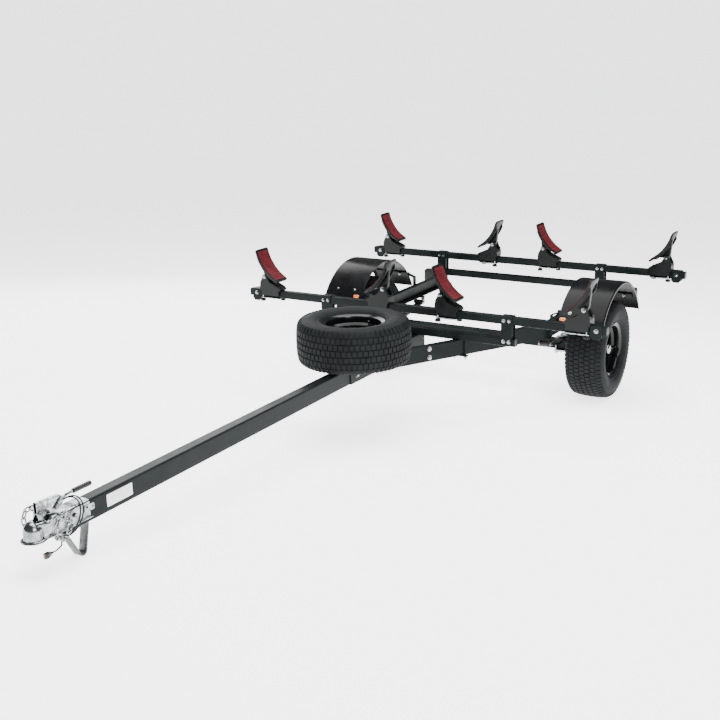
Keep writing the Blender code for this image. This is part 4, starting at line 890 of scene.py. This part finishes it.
def room():
    """What has to be clear inside: the ball's place and the clamp's passage behind it."""
    floor_plan = [(-0.022, 0.003), (0.022, 0.003), (0.022, 0.073), (-0.022, 0.073)]
    return [lathed(ball_room, 72, "Z"), pushed(floor_plan, "Z", 0.372, 0.0550)]


def side_hole(y, z, radius, side):
    """Round punch through one side of the channel."""
    punch = lathed([(0.0, 0.0), (radius, 0.0), (radius, 0.010), (0.0, 0.010)], 28)
    return moved(on_side(punch, side), (side * 0.0240, y, z))


TAB_MIDDLE = (0.2115, 0.4135)
PUNCHED = (0.2003, 0.4183, 0.0045)
holes = [side_hole(*PUNCHED, side) for side in (1, -1)]
coupler_parts = [carved(dome, room()), carved(neck, room() + holes)]
for side in (1, -1):
    ear = [(LATCH_PIVOT[0] - 0.012, 0.4375), (LATCH_PIVOT[0] + 0.014, 0.4310)]
    ear += arc(LATCH_PIVOT, 0.0085, 0, 180, 14)
    coupler_parts.append(eased(pushed(ear, "X", side * 0.0085, side * 0.004), 0.0005))
    tab = eased(pushed(rounded(0.043, 0.023, 0.005, TAB_MIDDLE), "X", 0.0288, 0.0028), 0.0005, 1)
    tab = carved(tab, [side_hole(TAB_MIDDLE[0] + 0.014, TAB_MIDDLE[1], 0.0036, 1), side_hole(*PUNCHED, 1)])
    coupler_parts.append(on_side(tab, side))
piece("coupler_pressing", gathered(coupler_parts), bright_zinc, "chassis", ["coupler_body"], 38.0)

# %% Pins and bolts of the coupler
pins = [wire([[(-0.0125, *LATCH_PIVOT), (0.0125, *LATCH_PIVOT)]], 0.0040, roundness=4),
        wire([[(-0.0290, *CLAMP_PIVOT), (0.0290, *CLAMP_PIVOT)]], 0.0035, roundness=4)]
for side in (1, -1):
    for face, pivot in ((0.0286, CLAMP_PIVOT), (0.0124, LATCH_PIVOT)):
        rivet = lathed([(0.0, 0.0), (0.0062, 0.0), (0.0055, 0.0022), (0.0030, 0.0032), (0.0, 0.0034)], 24)
        pins.append(moved(on_side(rivet, side), (side * face, *pivot)))
    pins.append(bolt((side * 0.0287, 0.148, 0.4110), (side, 0.0, 0.0), 0.0145, 0.0058,
                     0.0 if side > 0 else 0.004))
hardware("coupler_fastenings", pins)

# %% [markdown]
# ## Latch, rod and grip
# The latch is a narrow lever folded from sheet, open below and in front, that swings on its pin. The
# bar that carries the grip is welded to its side and bent in over the tongue's middle. The lever
# starts as a side outline pushed across, loses its front and bottom faces, has its folds rounded, and
# only then gets its thickness, as real sheet would.

# %% Latch
def folded_lever():
    """Lever of bent sheet, open below and in front."""
    front, rear, foot, top = 0.0175, 0.126, 0.4475, 0.4985
    outline = [(front, foot + 0.004), (front + 0.004, foot), (rear - 0.024, foot), (rear, foot + 0.014),
               (rear, top - 0.016), (rear - 0.012, top - 0.007), (front + 0.004, top), (front, top - 0.004)]
    solid = pushed(outline, "X", -0.008, 0.016)
    open_faces = [f for f in solid.faces if f.normal.y < -0.6 or f.normal.z < -0.6]
    bmesh.ops.delete(solid, geom=open_faces, context="FACES")
    rounded_off(solid, creases(solid, 30), 0.0030, 4)
    bmesh.ops.solidify(solid, geom=solid.faces[:], thickness=0.0022)
    bmesh.ops.recalc_face_normals(solid, faces=solid.faces)
    return solid


BESIDE = 0.0118
rod_path = [Vector(p) for p in ((BESIDE, 0.088, 0.4535), (BESIDE, 0.104, 0.4690), (BESIDE, 0.113, 0.4765),
                                (0.0065, 0.134, 0.4790), (0.0, 0.157, 0.4785), (0.0, 0.252, 0.4780))]
COIL_TURNS, COIL_STEPS = 4, 18
coil = [(-0.0045 + 0.0090 * i / (COIL_TURNS * COIL_STEPS), y, z)
        for i, (y, z) in enumerate(arc(LATCH_PIVOT, 0.0058, 0, 360 * COIL_TURNS, COIL_TURNS * COIL_STEPS))]
latch_parts = [folded_lever(), wire([smooth_route(rod_path, 8)], 0.005, roundness=6),
               wire([coil], 0.0008, roundness=2)]
piece("folded_latch", gathered(latch_parts), rubbed_zinc, "latch", ["coupler_latch"], 38.0)

# %% Ribbed grip
grip_start, grip_end = rod_path[4].lerp(rod_path[5], 0.20), rod_path[4].lerp(rod_path[5], 1.04)
grip_length = (grip_end - grip_start).length
GRIP = 0.0085
grip_profile = [(0.0053, 0.0), (0.0076, 0.0), (GRIP, 0.0012)]
for i in range(6):
    along = 0.012 + i * (grip_length - 0.024) / 6
    grip_profile += [(GRIP, along), (0.0078, along + 0.0018), (GRIP, along + 0.0036)]
grip_profile += [(GRIP, grip_length - 0.004), (0.0072, grip_length - 0.0012), (0.0042, grip_length),
                 (0.0, grip_length), (0.0, grip_length - 0.003), (0.0053, grip_length - 0.003)]
along = (grip_end - grip_start).normalized()
turn = Vector((1.0, 0.0, 0.0)).rotation_difference(along).to_matrix()
grip = moved(lathed(grip_profile, 36), grip_start, turn)
piece("ribbed_grip", grip, dipped_vinyl, "latch", ["latch_grip"])

# %% [markdown]
# ## Tongue stand
# A flat strap bent to a long loop holds the nose up when the trailer is parked. It is drawn as one
# outline in side view, an outer and an inner path with a round foot, and pushed across its width.
# Both paths are joined into one ring of faces by bridging, so no face has to be worked out by hand.

# %% Bent strap
FOOT = (0.181, 0.268)
STRAP_FRONT, STRAP_REAR, STRAP_THICK, STRAP_WIDTH = 0.118, 0.214, 0.005, 0.034


def strap_ring(offset):
    """The strap's path in side view, moved out by an offset."""
    bend = 0.003
    corner_z = TONGUE_BOTTOM - GAP - STRAP_THICK / 2 - bend
    return (arc((STRAP_FRONT + bend, corner_z), bend + offset, 90, 180, 4)
            + arc(FOOT, 0.0135 + offset, -155, -8, 20)
            + arc((STRAP_REAR - bend, corner_z), bend + offset, 0, 90, 4))


strap = bmesh.new()
loops = []
for offset in (STRAP_THICK / 2, -STRAP_THICK / 2):
    verts = [strap.verts.new((-STRAP_WIDTH / 2, y, z)) for y, z in strap_ring(offset)]
    loops += [strap.edges.new(pair) for pair in zip(verts, verts[1:] + verts[:1])]
bmesh.ops.bridge_loops(strap, edges=loops)
strap = eased(thickened(strap, (STRAP_WIDTH, 0.0, 0.0)), 0.0009, 2, 50.0)
piece("bent_strap", strap, dull_strap, "chassis", ["tongue_stand"], 40.0)
stand_bolts = [bolt((0.0, y, 0.3555), (0.0, 0.0, -1.0), 0.0130, 0.0050) for y in (0.135, 0.197)]
hardware("stand_bolts", stand_bolts)

# %% [markdown]
# ## Safety chains
# Each chain is gathered in a wreath at the coupler's side when the trailer is parked. A link is a
# round wire bent to a stadium, and its neighbours stand across it. A closed curve with a round bevel
# is just such a wire, so one curve path per link, turned in pairs, makes the whole chain.

# %% Chain links
LINK_PITCH = 0.0225
LINK_WIRE = 0.0028
LINK_WIDTH = 0.0200


def chain_route(side):
    """A little over one turn at the coupler's side, wider at its end."""
    points = []
    for i in range(221):
        t = i / 220
        angle = math.radians(62) - 2 * math.pi * 1.15 * t
        radius_y, radius_z = 0.036 - 0.004 * t, 0.043 - 0.004 * t
        points.append(Vector((side * (0.0525 + 0.028 * t), 0.064 + radius_y * math.cos(angle) - 0.008 * t,
                              0.416 + radius_z * math.sin(angle) - 0.006 * t)))
    return points


def evenly(path, pitch):
    """Points at a fixed straight distance from each other along a dense path."""
    found = [path[0]]
    for a, b in zip(path, path[1:]):
        while (b - found[-1]).length >= pitch:
            low, high = 0.0, 1.0
            for _ in range(30):
                middle = (low + high) / 2
                if (a.lerp(b, middle) - found[-1]).length < pitch:
                    low = middle
                else:
                    high = middle
            found.append(a.lerp(b, high))
            a = found[-1]
    return found


def link_path(centre, along, across):
    """Stadium round which the wire of one link is bent."""
    half_width = LINK_WIDTH / 2 - LINK_WIRE
    straight = LINK_PITCH / 2 + LINK_WIRE - 0.0009 - half_width
    points = []
    for end in (1, -1):
        for i in range(11):
            t = math.radians(-90 + 18 * i)
            points.append(centre + along * end * (straight + half_width * math.cos(t))
                          + across * end * half_width * math.sin(t))
    return points


for label, side in SIDES:
    joints = evenly(chain_route(side), LINK_PITCH)
    paths = []
    for index, (a, b) in enumerate(zip(joints, joints[1:])):
        along = (b - a).normalized()
        outward = Vector((side, 0.0, 0.0))
        flat = (outward - along * outward.dot(along)).normalized()
        across = flat if index % 2 else along.cross(flat)
        leaning = Matrix.Rotation(math.radians(12), 3, along) @ across
        paths.append(link_path((a + b) / 2, along, leaning.normalized()))
    piece(f"chain_{label}", wire(paths, LINK_WIRE, closed=True), chain_zinc_painted_shade, "chassis",
          [f"safety_chain_{label}"], 60.0)
    y, z = joints[0].y, joints[0].z - 0.014
    shank = [(side * 0.0280, y, z), (side * 0.0400, y, z)]
    ring = [(side * 0.0490, y + 0.0090 * math.cos(t), z + 0.004 + 0.0105 * math.sin(t))
            for t in (2 * math.pi * i / 28 for i in range(28))]
    hardware(f"chain_eye_{label}", [wire([shank], 0.0032), wire([ring], 0.0024, closed=True),
                                    bolt((side * 0.0287, y, z), (side, 0.0, 0.0), 0.011, 0.004)])

# %% [markdown]
# ## Hull cradles
# A hull rests in pairs of curved wings that tilt to fit it. Each wing is moulded in nylon with ribs
# behind it, and a dark red rubber pad lies in its face so that the hull doesn't slide. The wing
# is an arc with a thickness, pushed to its width, with its four corners rounded before its edges.

# %% Wings and pads
PIVOT_Z = 0.653
CRADLE_X = {"outer": 0.879, "inner": 0.161}
ARC_CENTRE = (-0.200, 0.193)


def curved_plate(low, high, near, far, half_width, corner):
    """A plate bent to the wing's arc, between two radii, with its four corners rounded."""
    inner = arc(ARC_CENTRE, near, low, high, 18)
    outer = arc(ARC_CENTRE, far, high, low, 18)
    plate = pushed(inner + outer, "Y", -half_width, 2 * half_width)
    thick = far - near
    tips = [e for e in plate.edges if abs(e.calc_length() - thick) < 0.0002
            and abs(e.verts[0].co.y - e.verts[1].co.y) < 1e-6]
    return eased(rounded_off(plate, tips, corner, 5), min(0.0016, thick * 0.3), 2, 50.0)


def wing():
    """Curved plate with a lug at its pivot and two ribs behind."""
    parts = [curved_plate(-63, -12, 0.235, 0.245, 0.0525, 0.014)]
    lug = arc(ARC_CENTRE, 0.240, -54.5, -20.5, 10) + [(0.018, 0.020)] + arc((0.0, 0.0), 0.013, 10, -170, 12)
    parts.append(eased(pushed(lug, "Y", -0.0115, 0.0230), 0.0012))
    for y in (-0.044, 0.040):
        back = arc(ARC_CENTRE, 0.242, -58, -16, 14) + arc(ARC_CENTRE, 0.253, -22, -52, 10)
        parts.append(eased(pushed(back, "Y", y, 0.004), 0.0008, 1))
    return gathered(parts)


def pad():
    """Rubber sheet with nine cross ribs."""
    rubber = [curved_plate(-60.5, -15.0, 0.2315, 0.2360, 0.0455, 0.011)]
    for i in range(9):
        low = -56.0 + 4.4 * i
        rubber.append(curved_plate(low, low + 1.1, 0.2302, 0.2325, 0.038, 0.0005))
    return gathered(rubber)


def cradle_places():
    """Name, place of the pivot, and the way each cradle faces."""
    for bar, y in BARS:
        for label, side in SIDES:
            for where, sign in (("outer", side), ("inner", -side)):
                yield f"{bar}_{label}_{where}", Vector((side * CRADLE_X[where], y, PIVOT_Z)), sign


for name, pivot, sign in cradle_places():
    piece(f"wing_{name}", moved(on_side(wing(), sign), pivot), moulded_nylon, f"wing_{name}",
          [f"cradle_wing_{name}"], 38.0)
    piece(f"pad_{name}", moved(on_side(pad(), sign), pivot), red_rubber_pad, f"wing_{name}",
          smooth=38.0)

# %% [markdown]
# ## What holds the cradles
# Each base is clamped on its bar by a plate below and two bolts with moulded hand knobs, so that it
# slides along the bar to suit a hull. The wing's pivot bolt shows its head in front and its nut
# behind. Small parts like these tell the eye how the thing is put together.

# %% Clamp plates, knobs and pivot bolts
def knob(place):
    """Five-lobed hand knob under a clamp plate."""
    lobes = [(0.0125 + 0.0022 * math.cos(5 * t), t) for t in (2 * math.pi * i / 50 for i in range(50))]
    outline = [(r * math.cos(t), r * math.sin(t)) for r, t in lobes]
    grip_part = eased(pushed(outline, "Z", -0.016, 0.013), 0.0018)
    neck_part = lathed([(0.0, -0.005), (0.0075, -0.005), (0.0085, 0.0), (0.0, 0.0)], 24, "Z")
    return moved(gathered([grip_part, neck_part]), place)


plates, knobs, pivots = [], [], []
for name, pivot, sign in cradle_places():
    low = BAR_Z - HALF_TUBE
    outline = rounded(0.116, 0.060, 0.006, (pivot.x - sign * 0.030, pivot.y))
    plates.append(eased(pushed(outline, "Z", low - 0.0045, 0.0042), 0.0008, 1))
    for u, v in ((-0.076, 0.025), (0.016, -0.025)):
        x, y = pivot.x + sign * u, pivot.y + v
        plates.append(wire([[(x, y, low - 0.012), (x, y, 0.5715)]], 0.003, roundness=2))
        knobs.append(knob((x, y, low - 0.0045)))
    pivots += through(pivot, (0.0, -1.0, 0.0), 0.031, (0.0130, 0.0052), (0.0130, 0.0060, 0.003))
hardware("cradle_plates", plates)
piece("cradle_knobs", gathered(knobs), moulded_nylon, "chassis")
hardware("cradle_pivot_bolts", pivots)

# %% [markdown]
# ## Caps and the blank plate
# Every open tube is closed with a pushed-in plastic cap, flush with the cut end, or it would fill with
# rain. The pale plate on the tongue's side is bare. Each is a rounded outline pushed a little way.

# %% Tube caps
caps = []
for _, y in BARS:
    for side in (1, -1):
        for z, start, depth in ((BAR_Z, 0.972, 0.0125), (BEAM_Z, 0.536, 0.0088)):
            outline = rounded(0.0325, 0.0325, 0.0025, (y, z))
            caps.append(eased(pushed(outline, "X", side * start, side * depth), 0.0012))
rear_end = rounded(0.0452, 0.0706, 0.0030, (0.0, TONGUE_MIDDLE))
caps.append(eased(pushed(rear_end, "Y", 2.550, 0.0098), 0.0015))
piece("tube_caps", gathered(caps), dipped_vinyl, "chassis")

# %% Blank plate
film = pushed(rounded(0.122, 0.043, 0.003, (0.3560, 0.4010)), "X", 0.02535, 0.0006)
piece("blank_plate", eased(film, 0.0002, 1), white_film, "chassis")

# %% [markdown]
# ## Frame hardware
# The frame is held by bolts in rows: the rails to the tongue, the risers to the beams, the springs to
# their hangers, the fenders to their brackets. Their places follow the photograph where it shows
# them, and are mirrored where it doesn't. U-bolt legs get their nuts and thread ends.

# %% Rail, riser and anchor bolts
RAIL_FACE = 0.0297
CLAMP_FACE = 0.02335
SPREAD = math.radians(29.5)
spread_out = Vector((math.cos(SPREAD), -math.sin(SPREAD), 0.0))
frame_bolts = []
ahead = (0.0, -1.0, 0.0)
for side in (1, -1):
    flip = Vector((side, 1.0, 1.0))
    for y, z in ((1.8915, 0.3939), (1.990, 0.4120)):
        frame_bolts.append(bolt((side * RAIL_FACE, y, z), (side, 0.0, 0.0), 0.0160, 0.0062,
                                0.0 if side > 0 else 0.004))
    for z in (0.4225, 0.3800):
        place = Vector((0.1748, 2.3234, z)) + spread_out * 0.0002
        frame_bolts.append(bolt(place * flip, spread_out * flip, 0.0150, 0.0058))
    for _, y in BARS:
        for x in (0.489, 0.517):
            frame_bolts += through((side * x, y, BEAM_Z + 0.003), ahead, CLAMP_FACE, (0.0120, 0.0050),
                                   (0.0120, 0.0055, 0.003))
            frame_bolts.append(bolt((side * x, y - CLAMP_FACE, BAR_Z), ahead, 0.0105, 0.0042))
        frame_bolts += through((side * 0.938, y, BAR_Z), ahead, CLAMP_FACE, (0.0135, 0.0055),
                               (0.0135, 0.0060, 0.003))
hardware("frame_bolts", frame_bolts)

# %% Nuts under the crossbeam clamps
clamp_nuts = []
RAIL_WIDTH, RAIL_BEND_Y, RAIL_REAR_X = 0.038, 2.067, 0.530
front_y, rear_y = BARS[0][1], BARS[1][1]
plate_low = TONGUE_BOTTOM - GAP - 0.005
outer_at_front = RAIL_FACE + (front_y - RAIL_BEND_Y) * math.tan(SPREAD)
breadth = RAIL_WIDTH / math.cos(SPREAD)
clamp_rows = ((front_y, outer_at_front - breadth / 2, breadth + 0.016),
              (rear_y, RAIL_REAR_X - RAIL_WIDTH / 2, RAIL_WIDTH + 0.0105))
for y, middle_x, width in clamp_rows:
    for side in (1, -1):
        for leg in (-1, 1):
            x = side * middle_x + leg * width / 2
            clamp_nuts.append(bolt((x, y, plate_low), (0.0, 0.0, -1.0), 0.0145, 0.0068, 0.009))
hardware("clamp_nuts", clamp_nuts)

# %% Spring eye bolts and fender bolts
spring_bolts, fender_bolts = [], []
HANGER_HALF = SPRING_WIDTH / 2 + 0.0012 + 0.004
EYE_NUT = (0.0175, 0.0065)
for side in (1, -1):
    for away in (-EYE_AWAY, EYE_AWAY):
        spring_bolts += through((side * SPRING_X, AXLE[0] + away, EYE_HEIGHT), (-1.0, 0.0, 0.0),
                                HANGER_HALF, EYE_NUT, EYE_NUT)
    for angle in (40.5, 139.5):
        for x in (0.632, 0.742):
            place, out = on_fender(x, angle, -0.0002)
            fender_bolts.append(bolt((side * place.x, place.y, place.z), out, 0.0115, 0.0035))
            inside, out = on_fender(x, angle, -0.0106)
            fender_bolts.append(bolt((side * inside.x, inside.y, inside.z), -out, 0.0115, 0.0045, 0.003))
    for y in (3.006, 3.075, 3.414, 3.483):
        fender_bolts.append(bolt((side * 0.5353, y, 0.3980), (side, 0.0, 0.0), 0.0130, 0.0050))
hardware("spring_bolts", spring_bolts)
hardware("fender_bolts", fender_bolts)

# %% [markdown]
# ## Leaf springs
# A spring of two leaves bends when the axle rises or drops. Its eyes stay on the frame and its middle
# goes with the axle, so each spring is drawn as a front and a rear half, and each half is set in the
# scene without riding on either body. The main leaf is rolled up into an eye at its end.

# %% Half springs
ROLL_RADIUS = 0.0102


def leaf_line(reach, lower):
    """Curve of a leaf from the axle outward, as distance and height."""
    return [(0.2768 * t, LEAF_MIDDLE + 0.0240 * t * t - lower) for t in (reach * i / 12 for i in range(13))]


def strip(line, thick):
    """Closed outline of a line with a thickness."""
    upper, under = [], []
    for i, (away, high) in enumerate(line):
        before, after = line[max(i - 1, 0)], line[min(i + 1, len(line) - 1)]
        along = Vector((after[0] - before[0], after[1] - before[1])).normalized()
        side = Vector((-along.y, along.x)) * thick / 2
        upper.append((away + side.x, high + side.y))
        under.append((away - side.x, high - side.y))
    return under + upper[::-1]


def half_spring(end):
    """Front (-1) or rear (1) half of a spring, drawn for the left side."""
    roll = arc((EYE_AWAY, EYE_HEIGHT), ROLL_RADIUS, -80, 210, 18)
    solids = []
    for outline in (strip(leaf_line(0.985, 0.0) + roll, 0.0062),
                    strip(leaf_line(0.62, LEAF - 0.0001), LEAF - 0.0004)):
        rows = [[(x, AXLE[0] + end * away, high) for away, high in outline]
                for x in (SPRING_X - SPRING_WIDTH / 2, SPRING_X + SPRING_WIDTH / 2)]
        solids.append(skinned(rows))
    return gathered(solids)


for label, side in SIDES:
    for end, which in ((-1, "front"), (1, "rear")):
        held = [PARKED @ Vector((side * SPRING_X, AXLE[0] + end * away, LEAF_MIDDLE))
                for away in (0.262, 0.046)]
        piece(f"spring_{which}_{label}", on_side(half_spring(end), side), dipped_spring_paint,
              ("chassis", "axle"), [f"leaf_spring_{label}"], bends=held)

# %% [markdown]
# ## Finishes of the parts carried over
# The tubes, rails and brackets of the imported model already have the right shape, so they stay as they
# are and only change their finish. A table says how the names of the parts begin that share a finish,
# which is easier to read and to change than forty single lines.

# %% Finishes by part
carried = {
    satin_powder_coat: ("tongue_beam", "rail_", "front_crossbeam", "rear_crossbeam", "bar_", "axle",
                        "fender_bracket_", "riser_", "strap_anchor_"),
    bright_zinc: ("spring_clamp_", "spare_carrier", "ball_clamp"),
    moulded_nylon: ("cradle_base_",),
}
for material, beginnings in carried.items():
    names = [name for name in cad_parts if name.startswith(beginnings)]
    for name in names:
        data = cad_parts[name].data
        data.materials.clear()
        data.materials.append(material)
    print(material.name, "on", len(names), "parts")

# %% [markdown]
# ## Studio
# The picture has a white sheet and even light from large soft boxes. A wide pale floor and three area
# lights do the same: one high over the trailer, one from the camera's side that draws the highlights
# along the tubes, and one from behind that lays a pale sheen on the tongue's top. The room itself is
# grey, so black paint stays deep and zinc has something dark to mirror. Only what the camera sees
# past the floor is white, as a lit sheet would be. The floor is a white acrylic table that is also
# lit a little from below, which keeps it even to its far end.

# %% Floor
floor_mesh = bpy.data.meshes.new("floor")
floor_solid = bmesh.new()
bmesh.ops.create_grid(floor_solid, x_segments=8, y_segments=8, size=30.0)
floor_solid.to_mesh(floor_mesh)
floor_solid.free()
floor = placed("floor", floor_mesh)
# Lit acrylic sheet: an even pale ground with a soft shadow under the trailer.
lit_acrylic = finish_named("lit_white_acrylic", **{
    "Roughness": 0.85, "Base Color": linear("#F4F4F3"), "Emission Color": linear("#FFFFFF"),
    "Emission Strength": 2.6})[0]
floor_mesh.materials.append(lit_acrylic)

# %% Lights
def softbox(name, place, aim, size, watts):
    """Square area light that faces a point."""
    data = bpy.data.lights.new(name, "AREA")
    data.shape = "SQUARE"
    data.size = size
    data.energy = watts
    light = placed(name, data)
    light.location = place
    light.rotation_mode = "QUATERNION"
    light.rotation_quaternion = (Vector(aim) - Vector(place)).to_track_quat("-Z", "Y")


softbox("overhead_box", (0.0, 0.3, 5.2), (0.0, 0.3, 0.0), 6.0, 900.0)
softbox("camera_side_box", (4.6, -3.6, 3.2), (0.0, -0.2, 0.3), 2.4, 260.0)
softbox("rear_box", (-3.9, 2.4, 2.7), (0.0, -1.2, 0.4), 3.0, 170.0)
world = bpy.data.worlds.new("studio")
bpy.context.scene.world = world
world.use_nodes = True
sky = world.node_tree.nodes["Background"]
sky.inputs["Color"].default_value = linear("#F6F7F7")
seen = add(world.node_tree, "LightPath").outputs["Is Camera Ray"]
room = add(world.node_tree, "MapRange", inputs={"Value": seen, "To Min": 0.16, "To Max": 3.0})
world.node_tree.links.new(room.outputs["Result"], sky.inputs["Strength"])
print("lights", 3)
